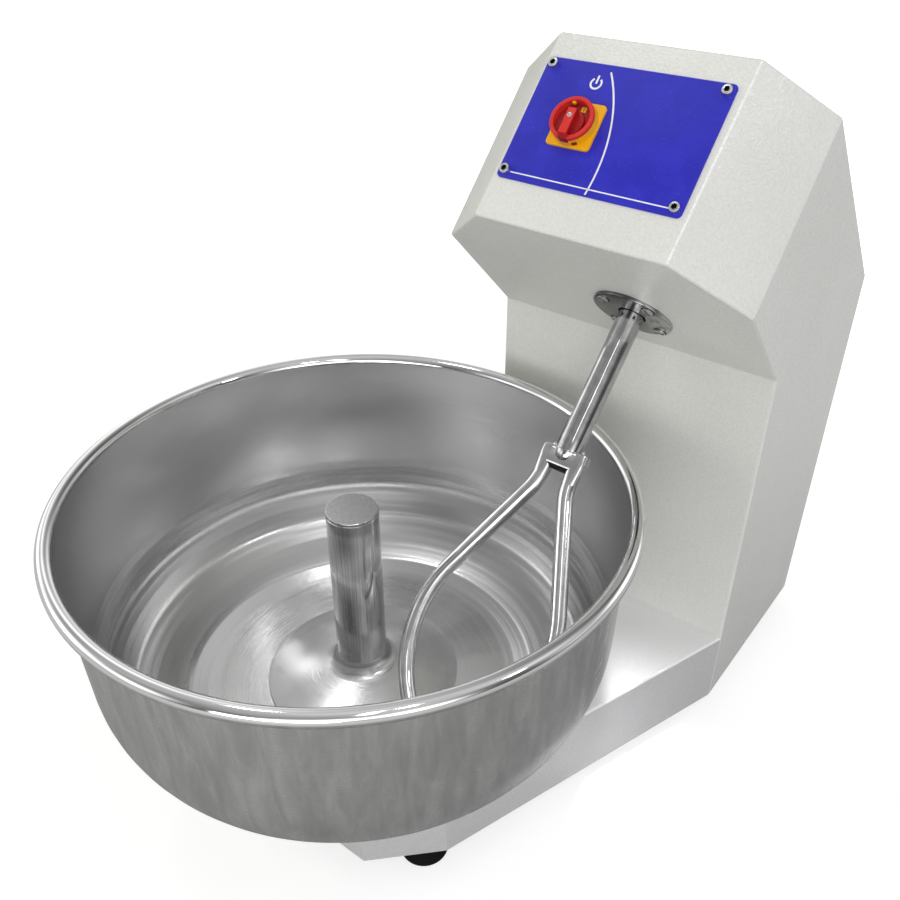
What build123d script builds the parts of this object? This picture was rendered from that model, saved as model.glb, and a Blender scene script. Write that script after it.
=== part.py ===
"""Fork dough mixer: a spun steel bowl on a low base, and a slanted head that drives a two-tined fork.

Millimetres, +Z up. The origin is on the floor, under the middle of the machine's bounding box: the
bowl's upright axis is on X = 0, +Y points from the bowl to the column, and the column stands to the
right, so that its right side is flush with the bowl's rim.
"""

import os
from math import acos, cos, hypot, pi, radians, sin, sqrt, tan

from build123d import *

os.makedirs("parts", exist_ok=True)

# Fits and sheet
running_gap = 0.05  # a shaft in its bearing, on the radius
seat_gap = 0.05  # a bearing in its housing, or a hub on its shaft, on the radius
slip_gap = 0.3  # pieces that only pass each other
bolt_gap = 0.2  # a bolt in its hole, on the radius
sheet = 3.0  # painted steel sheet of the housing
bend = 3.0  # outside radius of its folded edges

# Bowl
rim_radius = 288.0  # centre line of the rolled bead
bead_radius = 8.0
bowl_depth = 253.0  # from the centre of the bead to the outside of the bottom
bowl_standoff = 44.5  # of the outside of the bottom above the base
bowl_sheet = 2.5
bowl_corner = 118.0  # radius between the wall and the bottom, outside
wall_lean = 2.0  # degrees
cone_radius = 108.0
cone_rise = 17.0  # from the cone's edge to the collar
post_radius = 27.5
post_wall = 3.0
post_height = 232.0  # top of the post above the bowl's floor
post_cap_height = 4.0
post_edge = 1.5
collar_radius = 41.0
collar_lip = 1.0  # of the collar's upper edge round the post

# Bowl bearing
hub_radius = 85.0
hub_thickness = 12.0
hub_boss_radius = 32.0
hub_bolt_radius = 65.0
hub_bolt_count = 6
spindle_radius = 20.0
bowl_bearing_radius = 34.0
bowl_bearing_width = 15.0
bowl_bearing_spacing = 56.0
housing_radius = 45.0
housing_flange_radius = 70.0
housing_flange_height = 8.0
housing_bolt_radius = 58.0
housing_bolt_count = 6
housing_bolt_length = 22.0
housing_lip = 4.0  # of the housing above the upper bearing
housing_shoulder = 4.0  # that each bearing's outer race sits on
hub_step = 2.0  # of the hub's boss off the upper bearing's outer race
hub_bolt_end = 0.5  # of each bolt short of the hub's underside
spindle_nut_height = 10.0
spindle_nut_flats = 50.0

# Base
foot_height = 27.0
foot_radius = 28.0
foot_taper = 3.0
foot_edge = 3.0
foot_stud = 5.0
foot_stud_length = 28.0
foot_nut_flats = 17.0
foot_nut_height = 8.0
base_height = 103.5
base_reach = 113.0  # from the bowl's axis to the front edge
base_front_half = 92.0
base_corner = 66.0
floor_thickness = 4.0
front_foot_spread = 122.0  # from the bowl's axis to each side
front_foot_ahead = 43.5  # in front of the bowl's axis
rear_foot_inset = 42.0

# Column and head
column_width = 350.0
column_depth = 277.0
bowl_to_back = 624.0  # from the bowl's axis to the column's back face
knee_height = 479.5  # where the head's underside leaves the column's front, above the base's underside
underside_length = 233.0
underside_angle = 45.0
panel_length = 206.0
panel_angle = 47.3
roof_angle = 43.4
bevel = 73.0  # of the panel's two side edges

# Rear cover
cover_sheet = 2.0
cover_width = 270.0
cover_height = 330.0
cover_bottom = 100.0  # above the base's underside
cover_lap = 15.0  # of the cover over the edge of its window
cover_corner = 6.0
cover_screw_length = 10.0
vent_length = 90.0
vent_width = 6.0
vent_pitch = 16.0
vent_count = 6

# Screws: radius of the shank, radius and height of the head, across flats of the socket
m6_shank = 3.0
m6_head = 5.0
m6_head_height = 4.5
m6_socket = 5.0
m8_shank = 4.0
m8_head = 6.5
m8_head_height = 5.0
m8_socket = 6.0
cover_head = 5.0
cover_head_height = 3.0

# Control panel
plate_margin = 2.0  # from the plate to the panel's slanted folds
plate_length = 133.0
plate_thickness = 2.0
plate_corner = 5.0
plate_from_chin = 43.5
plate_screw_inset = 8.0
plate_screw_length = 12.0
switch_size = 48.0
switch_thickness = 3.0
switch_corner = 4.0
switch_collar = 23.0
switch_collar_height = 3.0
switch_left = 38.0  # of the middle of the panel
switch_from_chin = 109.5
switch_body_size = 46.0
switch_body_depth = 58.0
switch_bush = 11.0
switch_spindle = 4.0
knob_radius = 22.5
knob_floor = 3.0
knob_height = 9.2  # of its ring
knob_wall = 4.5
knob_bar_width = 9.5
knob_bar_height = 13.2
knob_bar_back = 8.0  # from the middle to the bar's blunt end
knob_bar_slope = 4.5  # that the bar's pointing end is cut back over the ring
knob_plateau = 14.5  # radius of the raised half beside the bar
knob_plateau_height = 6.5
knob_screw_room = 1.2
knob_screw_head = 3.0
knob_screw_head_height = 1.5
knob_screw_shank = 1.5
knob_screw_length = 10.0

# Fork, measured along its axis from the outside of the head's underside
fork_right = 29.0  # of the middle of the column
fork_from_chin = 147.0
shaft_radius = 14.0
journal_radius = 12.5
crosshead_start = 160.0
crosshead_depth = 18.0  # of a leg, from front to back
crosshead_round = 4.0
leg_length = 30.0
web_height = 22.0
web_thickness = 16.0
shaft_sink = 16.0  # of the shaft's end in the crosshead
tine_radius = 8.5
tine_waist = 17.5  # half the distance between the tines below the crosshead
tine_waist_end = 205.0
tine_waist_bend = 65.0
tine_belly = 100.5  # where the two runs of a tine would cross
tine_belly_at = 400.0
tine_belly_bend = 135.0
tine_tip = 20.5
tine_tip_at = 486.0

# Flange, seal and bearing of the fork
flange_radius = 45.0
flange_thickness = 4.0
flange_edge = 1.5
flange_screw_radius = 37.0
flange_screw_count = 4
flange_screw_head = 6.0
flange_screw_length = 15.0
seal_radius = 17.0
seal_proud = 1.2
bearing_flange_radius = 52.0
bearing_flange_thickness = 12.0
bearing_tube_radius = 36.0
bearing_tube_length = 48.0
fork_bearing_radius = 26.0
fork_bearing_width = 15.0

# Worm reducer
gear_module = 5.0
wheel_teeth = 20
wheel_face = 16.0
wheel_hub_radius = 24.0
pressure_angle = 20.0
backlash = 2.0
tooth_clearance = 1.25
worm_pitch_radius = 22.0
worm_turns = 4
worm_journal = 10.0
worm_bearing_radius = 21.0
worm_bearing_width = 12.0
reducer_height = 84.0
reducer_wall = 8.0
reducer_end_wall = 14.0
gear_room = 6.0  # between the gears and the housing
reducer_cover_height = 10.0
reducer_boss_radius = 34.0
reducer_boss_height = 12.0
reducer_bolt_length = 24.0
reducer_bolt_setback = 3.0  # of the rear bolts from the room's back wall
mount_bolt_radius = 44.0
mount_bolt_count = 4
mount_flange_thickness = 10.0
mount_bolt_length = 16.0

# Belt drive
pulley_width = 22.0
reducer_pulley_radius = 50.0
motor_pulley_radius = 40.0
belt_width = 13.0
belt_thickness = 8.0
pulley_from_reducer = 14.0

# Motor
motor_behind_front = 150.0  # its axis behind the column's front
motor_axis_height = 300.0  # above the base's underside
motor_radius = 65.0
motor_wall = 6.0
motor_length = 130.0
motor_from_pulley = 10.0
motor_foot_height = 80.0
motor_foot_width = 130.0
motor_foot_length = 100.0
motor_foot_thickness = 10.0
motor_bolt_inset = 15.0
motor_bolt_length = 22.0
fin_height = 8.0
fin_width = 3.0
fin_count = 24
shield_thickness = 12.0
motor_shaft_radius = 12.0
rotor_radius = 42.0
rotor_end_gap = 14.0  # between the rotor's ends and the end shields
stator_gap = 0.5
fan_radius = 54.0
fan_disc = 4.0
fan_blade_height = 16.0
fan_blade_thickness = 2.5
fan_blade_count = 8
fan_hub_radius = 18.0
fan_from_shield = 8.0
fan_cover_length = 42.0
fan_cover_sheet = 1.5
fan_hole_radius = 4.0
terminal_box_width = 70.0
terminal_box_length = 90.0
terminal_box_height = 36.0
shelf_thickness = 4.0
shelf_depth = 190.0
shelf_flange = 30.0

# Cable gland
gland_thread = 10.0
gland_flats = 27.0
gland_nut_height = 9.0
gland_dome = 12.0
gland_height = 70.0  # above the base's underside
gland_from_back = 70.0
gland_bore = 4.5

STANDING = (Align.CENTER, Align.CENTER, Align.MIN)
HANGING = (Align.CENTER, Align.CENTER, Align.MAX)

# Places that several pieces share
rim_outer = rim_radius + bead_radius
rear_stack = cover_sheet + cover_head_height
bowl_y = (rim_outer - bowl_to_back - rear_stack) / 2
column_x = rim_outer - column_width / 2
column_left = rim_outer - column_width
column_right = rim_outer
back_y = bowl_y + bowl_to_back
front_y = back_y - column_depth
base_front = bowl_y - base_reach
base_bottom = foot_height
base_top = base_bottom + base_height
bowl_bottom = base_top + bowl_standoff
rim_z = bowl_bottom + bowl_depth
knee_z = base_bottom + knee_height
motor_z = base_bottom + motor_axis_height
floor_top = base_bottom + floor_thickness
chin_y = front_y - underside_length * cos(radians(underside_angle))
chin_z = knee_z + underside_length * sin(radians(underside_angle))
peak_y = chin_y + panel_length * cos(radians(panel_angle))
peak_z = chin_z + panel_length * sin(radians(panel_angle))
eaves_z = peak_z - (back_y - peak_y) * tan(radians(roof_angle))
bowl_floor = bowl_bottom + bowl_sheet
bowl_axis = Axis((0, bowl_y, 0), (0, 0, 1))
bowl_section = Plane(origin=(0, bowl_y, 0), x_dir=(1, 0, 0), z_dir=(0, -1, 0))

# Planes of the head: x of each runs along +X, and z of the fork's plane runs down its shaft
slope_sin = sin(radians(underside_angle))
slope_cos = cos(radians(underside_angle))
fork_dir = Vector(0, -slope_sin, -slope_cos)
fork_x = column_x + fork_right
fork_origin = Vector(
    fork_x, chin_y + fork_from_chin * slope_cos, chin_z - fork_from_chin * slope_sin
)
fork_plane = Plane(origin=fork_origin, x_dir=(1, 0, 0), z_dir=fork_dir)
fork_section = Plane(origin=fork_origin, x_dir=(1, 0, 0), z_dir=(0, slope_cos, -slope_sin))
fork_axis = Axis(fork_origin, fork_dir)
panel_normal = Vector(0, -sin(radians(panel_angle)), cos(radians(panel_angle)))
panel_slope = Axis((0, 0, 0), (0, cos(radians(panel_angle)), sin(radians(panel_angle))))
panel_plane = Plane(origin=(column_x, chin_y, chin_z), x_dir=(1, 0, 0), z_dir=panel_normal)


def panel_spot(x, from_chin):
    """A plane on the panel's face, with its origin this far right of the middle and above the chin."""
    spot = panel_plane.from_local_coords(Vector(x, from_chin, 0))
    return Plane(origin=spot, x_dir=(1, 0, 0), z_dir=panel_normal)


plate_plane = panel_spot(0, plate_from_chin + plate_length / 2)
switch_plane = panel_spot(-switch_left, switch_from_chin)
rear_plane = Plane(
    origin=(column_x, back_y, base_bottom + cover_bottom + cover_height / 2),
    x_dir=(-1, 0, 0),
    z_dir=(0, 1, 0),
)
plate_width = column_width - 2 * (bevel + plate_margin)
plate_screw_grid = (plate_width - 2 * plate_screw_inset, plate_length - 2 * plate_screw_inset)
cover_screw_grid = (cover_width - cover_lap, cover_height - cover_lap)


def finish(builder, label):
    """Label a finished piece and write its STEP file."""
    builder.part.label = label
    export_step(builder.part, f"parts/{label}.step")


def socket_screw(shank, head, head_height, socket, length):
    """Socket-head screw on the XY plane: the head stands on it, and the shank hangs below."""
    with BuildPart(mode=Mode.PRIVATE) as screw:
        Cylinder(head, head_height, align=STANDING)
        chamfer(screw.edges().group_by(Axis.Z)[-1], head / 10)
        Cylinder(shank, length, align=HANGING)
        with BuildSketch(Plane.XY.offset(head_height)):
            RegularPolygon(socket / 2, 6, major_radius=False)
        extrude(amount=-head_height / 2, mode=Mode.SUBTRACT)
    return screw.part


def bearing(bore, radius, width):
    """Sealed ball bearing on the XY plane, as one ring with its shields set back."""
    race = (radius - bore) / 4
    with BuildPart(mode=Mode.PRIVATE) as ring:
        Cylinder(radius, width, align=STANDING)
        for level, direction in ((0, 1), (width, -1)):
            with BuildSketch(Plane.XY.offset(level)):
                Circle(radius - race)
                Circle(bore + race, mode=Mode.SUBTRACT)
            extrude(amount=direction * race / 4, mode=Mode.SUBTRACT)
        Cylinder(bore, width, align=STANDING, mode=Mode.SUBTRACT)
    return ring.part


m6_screw = socket_screw(m6_shank, m6_head, m6_head_height, m6_socket, plate_screw_length)

# Column and head: one folded and welded shell, open below


def column_solid(inset, length_below):
    """The column's outline drawn in by a sheet's thickness, with the panel's side edges bevelled."""
    side = Plane(origin=(column_left + inset, 0, 0), x_dir=(0, 1, 0), z_dir=(1, 0, 0))
    foot_z = base_bottom - length_below
    with BuildPart(mode=Mode.PRIVATE) as solid:
        with BuildSketch(side):
            with BuildLine():
                Polyline(
                    (front_y, foot_z),
                    (front_y, knee_z),
                    (chin_y, chin_z),
                    (peak_y, peak_z),
                    (back_y, eaves_z),
                    (back_y, foot_z),
                    close=True,
                )
            make_face()
            if inset:
                offset(amount=-inset, kind=Kind.INTERSECTION, mode=Mode.REPLACE)
        extrude(amount=column_width - 2 * inset)
        slanted = solid.edges().filter_by(panel_slope)
        chamfer(slanted, bevel - inset * (2 - sqrt(2)))
    return solid.part


column_block = column_solid(0, 0)
column_hollow = column_solid(sheet, 3 * sheet)

with BuildPart() as column_shell:
    add(column_block)
    folds = column_shell.edges().filter_by_position(Axis.Z, base_bottom + bend, peak_z + bend)
    fillet(folds, bend)
    add(column_hollow, mode=Mode.SUBTRACT)
    # Holes for the fork's shaft and its flange screws
    with BuildSketch(fork_plane):
        Circle(seal_radius + slip_gap)
        with PolarLocations(flange_screw_radius, flange_screw_count, start_angle=180 / flange_screw_count):
            Circle(m6_shank + bolt_gap)
    extrude(amount=-2 * sheet, mode=Mode.SUBTRACT)
    # Holes for the switch and the screws of the control plate
    with BuildSketch(switch_plane):
        Circle(switch_bush + slip_gap)
    extrude(amount=-2 * sheet, mode=Mode.SUBTRACT)
    with BuildSketch(plate_plane):
        with GridLocations(*plate_screw_grid, 2, 2):
            Circle(m6_shank + bolt_gap)
    extrude(amount=-2 * sheet, mode=Mode.SUBTRACT)
    # Rear window, with its screw holes
    with BuildSketch(rear_plane):
        Rectangle(cover_width - 2 * cover_lap, cover_height - 2 * cover_lap)
        with GridLocations(*cover_screw_grid, 2, 2):
            Circle(m6_shank + bolt_gap)
    extrude(amount=-2 * sheet, mode=Mode.SUBTRACT)
    # Cable inlet, low on the left side
    gland_plane = Plane(
        origin=(column_left, back_y - gland_from_back, base_bottom + gland_height),
        x_dir=(0, 1, 0),
        z_dir=(-1, 0, 0),
    )
    with BuildSketch(gland_plane):
        Circle(gland_thread + bolt_gap)
    extrude(amount=-2 * sheet, mode=Mode.SUBTRACT)
finish(column_shell, "column_shell")

# Base: a low box that leads from the column to under the bowl
base_outline = [
    (-base_front_half, base_front),
    (base_front_half, base_front),
    (base_front_half + base_corner, base_front + base_corner),
    (column_right, front_y),
    (column_left, front_y),
    (-base_front_half - base_corner, base_front + base_corner),
]
with BuildPart() as base_shell:
    with BuildSketch(Plane.XY.offset(base_bottom)):
        Polygon(*base_outline, align=None)
    extrude(amount=base_height)
    outside_edges = base_shell.edges().filter_by_position(Axis.Z, base_bottom + bend, base_top + bend)
    fillet(outside_edges.filter_by_position(Axis.Y, base_front - bend, front_y - bend), bend)
    with BuildSketch(Plane.XY.offset(base_bottom)):
        Polygon(*base_outline, align=None)
        offset(amount=-sheet, kind=Kind.INTERSECTION, mode=Mode.REPLACE)
    extrude(amount=base_height - sheet, mode=Mode.SUBTRACT)
    # Hole for the bowl's bearing housing, with its bolts
    with BuildSketch(Plane(origin=(0, bowl_y, base_top))):
        Circle(housing_radius + slip_gap)
        with PolarLocations(housing_bolt_radius, housing_bolt_count):
            Circle(m8_shank + bolt_gap)
    extrude(amount=-2 * sheet, mode=Mode.SUBTRACT)
finish(base_shell, "base_shell")

# Floor plates inside the skirts of the base and the column, with the feet bolted to them
front_feet = [(side * front_foot_spread, bowl_y - front_foot_ahead) for side in (-1, 1)]
rear_feet = [
    (column_left + rear_foot_inset, back_y - rear_foot_inset),
    (column_right - rear_foot_inset, back_y - rear_foot_inset),
]
foot_spots = dict(
    zip(
        ("foot_front_left", "foot_front_right", "foot_rear_left", "foot_rear_right"),
        front_feet + rear_feet,
    )
)
with BuildPart() as base_floor:
    with BuildSketch(Plane.XY.offset(base_bottom)):
        Polygon(*base_outline, align=None)
        offset(amount=-sheet, kind=Kind.INTERSECTION, mode=Mode.REPLACE)
        with Locations(*front_feet):
            Circle(foot_stud + bolt_gap, mode=Mode.SUBTRACT)
    extrude(amount=floor_thickness)
finish(base_floor, "base_floor")

with BuildPart() as column_floor:
    with BuildSketch(Plane.XY.offset(base_bottom)):
        with Locations((column_x, (front_y + back_y) / 2)):
            Rectangle(column_width - 2 * sheet, column_depth - 2 * sheet)
        with Locations(*rear_feet):
            Circle(foot_stud + bolt_gap, mode=Mode.SUBTRACT)
    extrude(amount=floor_thickness)
finish(column_floor, "column_floor")

for foot_name, (foot_x, foot_y) in foot_spots.items():
    with BuildPart() as foot:
        with BuildSketch(Plane(origin=(foot_x, foot_y, 0))):
            Circle(foot_radius)
        with BuildSketch(Plane(origin=(foot_x, foot_y, foot_height))):
            Circle(foot_radius - foot_taper)
        loft()
        fillet(foot.edges().group_by(Axis.Z)[0], foot_edge)
        with BuildSketch(Plane(origin=(foot_x, foot_y, foot_height))):
            Circle(foot_stud + bolt_gap)
        extrude(amount=-foot_height / 2, mode=Mode.SUBTRACT)
    finish(foot, foot_name)

with BuildPart() as foot_studs:
    with Locations(*[(x, y, foot_height / 2) for x, y in foot_spots.values()]):
        Cylinder(foot_stud, foot_stud_length, align=STANDING)
    with BuildSketch(Plane.XY.offset(floor_top)):
        with Locations(*foot_spots.values()):
            RegularPolygon(foot_nut_flats / 2, 6, major_radius=False)
    extrude(amount=foot_nut_height)
finish(foot_studs, "foot_studs")

# Rear service cover with its vents
with BuildPart() as rear_cover:
    with BuildSketch(rear_plane):
        RectangleRounded(cover_width, cover_height, cover_corner)
        with GridLocations(*cover_screw_grid, 2, 2):
            Circle(m6_shank + bolt_gap, mode=Mode.SUBTRACT)
        with GridLocations(vent_length * 1.2, vent_pitch, 2, vent_count):
            SlotOverall(vent_length, vent_width, mode=Mode.SUBTRACT)
    extrude(amount=cover_sheet)
finish(rear_cover, "rear_cover")

with BuildPart(rear_plane.offset(cover_sheet)) as rear_cover_screws:
    with GridLocations(*cover_screw_grid, 2, 2):
        Cylinder(cover_head, cover_head_height, align=STANDING)
        Cylinder(m6_shank, cover_screw_length, align=HANGING)
    fillet(
        rear_cover_screws.edges().filter_by(GeomType.CIRCLE).sort_by(Axis.Y)[-4:], cover_head_height / 2
    )
finish(rear_cover_screws, "rear_cover_screws")

# Control plate, its screws and the turning switch
with BuildPart() as control_plate:
    with BuildSketch(plate_plane):
        RectangleRounded(plate_width, plate_length, plate_corner)
        with GridLocations(*plate_screw_grid, 2, 2):
            Circle(m6_shank + bolt_gap, mode=Mode.SUBTRACT)
    extrude(amount=plate_thickness)
    with BuildSketch(switch_plane):
        Circle(switch_bush + slip_gap)
    extrude(amount=plate_thickness, mode=Mode.SUBTRACT)
finish(control_plate, "control_plate")

with BuildPart(plate_plane.offset(plate_thickness)) as control_plate_screws:
    with GridLocations(*plate_screw_grid, 2, 2):
        add(m6_screw)
finish(control_plate_screws, "control_plate_screws")

switch_face = switch_plane.offset(plate_thickness)
knob_plane = switch_face.offset(switch_thickness + switch_collar_height + slip_gap)
knob_side = Plane(origin=knob_plane.origin, x_dir=knob_plane.y_dir, z_dir=knob_plane.x_dir)
with BuildPart() as switch_plate:
    with BuildSketch(switch_face):
        RectangleRounded(switch_size, switch_size, switch_corner)
    extrude(amount=switch_thickness)
    with BuildSketch(switch_face.offset(switch_thickness)):
        Circle(switch_collar)
    extrude(amount=switch_collar_height)
    with BuildSketch(switch_face):
        Circle(switch_bush + slip_gap)
    extrude(amount=switch_thickness, mode=Mode.SUBTRACT)
    with BuildSketch(switch_face):
        Circle(switch_spindle + slip_gap)
    extrude(amount=switch_thickness + switch_collar_height, mode=Mode.SUBTRACT)
finish(switch_plate, "switch_plate")

switch_stack = plate_thickness + switch_thickness
with BuildPart() as switch_body:
    with BuildSketch(switch_plane.offset(-sheet)):
        RectangleRounded(switch_body_size, switch_body_size, switch_corner)
    extrude(amount=-switch_body_depth)
    with BuildSketch(switch_plane.offset(-sheet)):
        Circle(switch_bush)
    extrude(amount=sheet + switch_stack)
    with BuildSketch(switch_plane.offset(switch_stack)):
        Circle(switch_spindle + running_gap)
    extrude(amount=-switch_stack - sheet - switch_body_depth / 2, mode=Mode.SUBTRACT)
finish(switch_body, "switch_body")

with BuildPart() as switch_knob:
    with BuildSketch(knob_plane):
        Circle(knob_radius)
    extrude(amount=knob_floor)
    with BuildSketch(knob_plane.offset(knob_floor)):
        Circle(knob_radius)
        Circle(knob_radius - knob_wall, mode=Mode.SUBTRACT)
    extrude(amount=knob_height - knob_floor)
    # Bar across the cup, with its pointing end over the ring
    with BuildSketch(knob_side):
        Polygon(
            (-knob_radius, knob_floor),
            (-knob_radius, knob_bar_height - knob_bar_slope),
            (knob_bar_slope - knob_radius, knob_bar_height),
            (knob_bar_back, knob_bar_height),
            (knob_bar_back, knob_floor),
            align=None,
        )
    extrude(amount=knob_bar_width / 2, both=True)
    with BuildSketch(knob_plane.offset(knob_floor)):
        Circle(knob_plateau)
        with Locations((-knob_plateau, 0)):
            Rectangle(2 * knob_plateau, 2 * knob_plateau, mode=Mode.SUBTRACT)
    extrude(amount=knob_plateau_height - knob_floor)
    with BuildSketch(knob_plane):
        Circle(switch_spindle)
    extrude(amount=-switch_collar_height - switch_stack - sheet - switch_body_depth / 4)
    with BuildSketch(knob_plane.offset(knob_bar_height)):
        Circle(knob_screw_shank + bolt_gap)
    extrude(amount=-knob_screw_length - knob_screw_room, mode=Mode.SUBTRACT)
finish(switch_knob, "switch_knob")

with BuildPart(knob_plane.offset(knob_bar_height)) as switch_knob_screw:
    Cylinder(knob_screw_head, knob_screw_head_height, align=STANDING)
    Cylinder(knob_screw_shank, knob_screw_length, align=HANGING)
    with BuildSketch(knob_plane.offset(knob_bar_height + knob_screw_head_height)):
        Rectangle(2 * knob_screw_head, knob_screw_head / 4)
    extrude(amount=-knob_screw_head_height / 2, mode=Mode.SUBTRACT)
finish(switch_knob_screw, "switch_knob_screw")

# Fork: shaft, crosshead and two bowed tines
bearing_shoulder = -sheet - bearing_flange_thickness
bearing_tube_end = bearing_shoulder - bearing_tube_length
fork_bearing_at = bearing_tube_end + fork_bearing_width
reducer_top = bearing_tube_end - reducer_height
wheel_at = bearing_tube_end - reducer_height / 2
shaft_end = reducer_top - fork_bearing_width
shaft_tip = crosshead_start + shaft_sink
with BuildPart() as fork_shaft:
    with BuildSketch(fork_section):
        with BuildLine():
            Polyline(
                (0, shaft_tip),
                (shaft_radius, shaft_tip),
                (shaft_radius, fork_bearing_at),
                (journal_radius, fork_bearing_at),
                (journal_radius, shaft_end),
                (0, shaft_end),
                close=True,
            )
        make_face()
    revolve(axis=fork_axis)
finish(fork_shaft, "fork_shaft")

with BuildPart() as fork_crosshead:
    with BuildSketch(fork_plane.offset(crosshead_start)):
        with Locations((-tine_waist, 0), (tine_waist, 0)):
            RectangleRounded(2 * tine_radius, crosshead_depth, crosshead_round)
    extrude(amount=leg_length)
    fillet(fork_crosshead.edges().group_by(fork_axis)[0], crosshead_round / 2)
    with BuildSketch(fork_plane.offset(crosshead_start)):
        Rectangle(2 * tine_waist, web_thickness)
    extrude(amount=web_height)
    with BuildSketch(fork_plane.offset(crosshead_start)):
        Circle(shaft_radius + seat_gap)
    extrude(amount=shaft_sink, mode=Mode.SUBTRACT)
finish(fork_crosshead, "fork_crosshead")

crosshead_end = crosshead_start + leg_length
for tine_name, side in (("fork_tine_left", -1), ("fork_tine_right", 1)):
    with BuildPart() as tine:
        with BuildLine(fork_section) as tine_line:
            FilletPolyline(
                (side * tine_waist, crosshead_end),
                (side * tine_waist, tine_waist_end),
                (side * tine_belly, tine_belly_at),
                (side * tine_tip, tine_tip_at),
                radius=[tine_waist_bend, tine_belly_bend],
            )
        with BuildSketch(Plane(origin=tine_line.line @ 0, x_dir=(1, 0, 0), z_dir=tine_line.line % 0)):
            Circle(tine_radius)
        sweep()
        with Locations(tine_line.line @ 1):
            Sphere(tine_radius)
    finish(tine, tine_name)

# Flange, seal and bearing where the fork's shaft goes into the head
screw_turn = 180 / flange_screw_count
with BuildPart(fork_plane) as shaft_flange:
    Cylinder(flange_radius, flange_thickness, align=STANDING)
    fillet(shaft_flange.edges().group_by(fork_axis)[-1], flange_edge)
    Cylinder(seal_radius + seat_gap, flange_thickness, align=STANDING, mode=Mode.SUBTRACT)
    with Locations((0, 0, flange_thickness)):
        with PolarLocations(flange_screw_radius, flange_screw_count, start_angle=screw_turn):
            CounterSinkHole(m6_shank + bolt_gap, flange_screw_head + bolt_gap, depth=2 * flange_thickness)
finish(shaft_flange, "shaft_flange")

head_cone = flange_screw_head - m6_shank
with BuildPart(fork_plane.offset(flange_thickness)) as flange_screws:
    with PolarLocations(flange_screw_radius, flange_screw_count, start_angle=screw_turn):
        Cylinder(m6_shank, flange_screw_length, align=HANGING)
        Cone(m6_shank, flange_screw_head, head_cone, align=HANGING)
    with BuildSketch(fork_plane.offset(flange_thickness)):
        with PolarLocations(flange_screw_radius, flange_screw_count, start_angle=screw_turn):
            RegularPolygon(m6_shank * 2 / 3, 6, major_radius=False)
    extrude(amount=-head_cone, mode=Mode.SUBTRACT)
finish(flange_screws, "flange_screws")

with BuildPart(fork_plane.offset(-sheet)) as shaft_seal:
    Cylinder(seal_radius, sheet + flange_thickness + seal_proud, align=STANDING)
    Cylinder(
        shaft_radius + running_gap, sheet + flange_thickness + seal_proud, align=STANDING, mode=Mode.SUBTRACT
    )
finish(shaft_seal, "shaft_seal")

bearing_housing_length = bearing_flange_thickness + bearing_tube_length
mount_turn = 180 / mount_bolt_count
with BuildPart(fork_plane.offset(-sheet)) as fork_bearing_housing:
    Cylinder(bearing_flange_radius, bearing_flange_thickness, align=HANGING)
    Cylinder(bearing_tube_radius, bearing_housing_length, align=HANGING)
    with Locations((0, 0, -bearing_housing_length)):
        Cylinder(bearing_flange_radius, mount_flange_thickness, align=STANDING)
        with PolarLocations(mount_bolt_radius, mount_bolt_count, start_angle=mount_turn):
            Cylinder(m8_shank + bolt_gap, mount_flange_thickness, align=STANDING, mode=Mode.SUBTRACT)
        Cylinder(fork_bearing_radius + seat_gap, fork_bearing_width, align=STANDING, mode=Mode.SUBTRACT)
    Cylinder(shaft_radius + slip_gap, bearing_housing_length, align=HANGING, mode=Mode.SUBTRACT)
    with PolarLocations(flange_screw_radius, flange_screw_count, start_angle=screw_turn):
        Cylinder(m6_shank + bolt_gap, bearing_flange_thickness, align=HANGING, mode=Mode.SUBTRACT)
finish(fork_bearing_housing, "fork_bearing_housing")

with BuildPart(fork_plane.offset(bearing_tube_end)) as fork_bearing:
    add(bearing(journal_radius + running_gap, fork_bearing_radius, fork_bearing_width))
finish(fork_bearing, "fork_bearing")

# Worm reducer on top of the bearing housing
wheel_radius = gear_module * wheel_teeth / 2
wheel_tip = wheel_radius + gear_module
wheel_root = wheel_radius - gear_module * tooth_clearance
worm_lead = pi * gear_module
worm_tip = worm_pitch_radius + gear_module
worm_root = worm_pitch_radius - gear_module * tooth_clearance
centre_distance = wheel_radius + worm_pitch_radius
worm_length = worm_turns * worm_lead
reducer_half = max(wheel_tip, worm_length / 2) + gear_room + reducer_end_wall
room_front = wheel_tip + gear_room
room_back = centre_distance + worm_tip + gear_room
wheel_plane = fork_plane.offset(wheel_at)
worm_point = wheel_plane.from_local_coords(Vector(0, -centre_distance, 0))
to_wheel = Vector(0, -slope_cos, slope_sin)


def involute(angle):
    """Involute function of an angle in radians."""
    return tan(angle) - angle


def tooth_half_angle(radius):
    """Half the angle that a wheel's tooth takes up at this radius."""
    base_circle = wheel_radius * cos(radians(pressure_angle))
    lean = acos(min(1.0, base_circle / radius))
    half_pitch = pi / (2 * wheel_teeth) - backlash / (4 * wheel_radius)
    return half_pitch + involute(radians(pressure_angle)) - involute(lean)


def tooth_outline(middle):
    """Points of one wheel tooth, up its one flank and down the other."""
    levels = (wheel_root - 1, wheel_root, wheel_radius - gear_module / 3, wheel_radius, wheel_tip)
    up = [(r, middle - tooth_half_angle(r)) for r in levels]
    down = [(r, middle + tooth_half_angle(r)) for r in reversed(levels)]
    return [(r * cos(a), r * sin(a)) for r, a in up + down]


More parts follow.
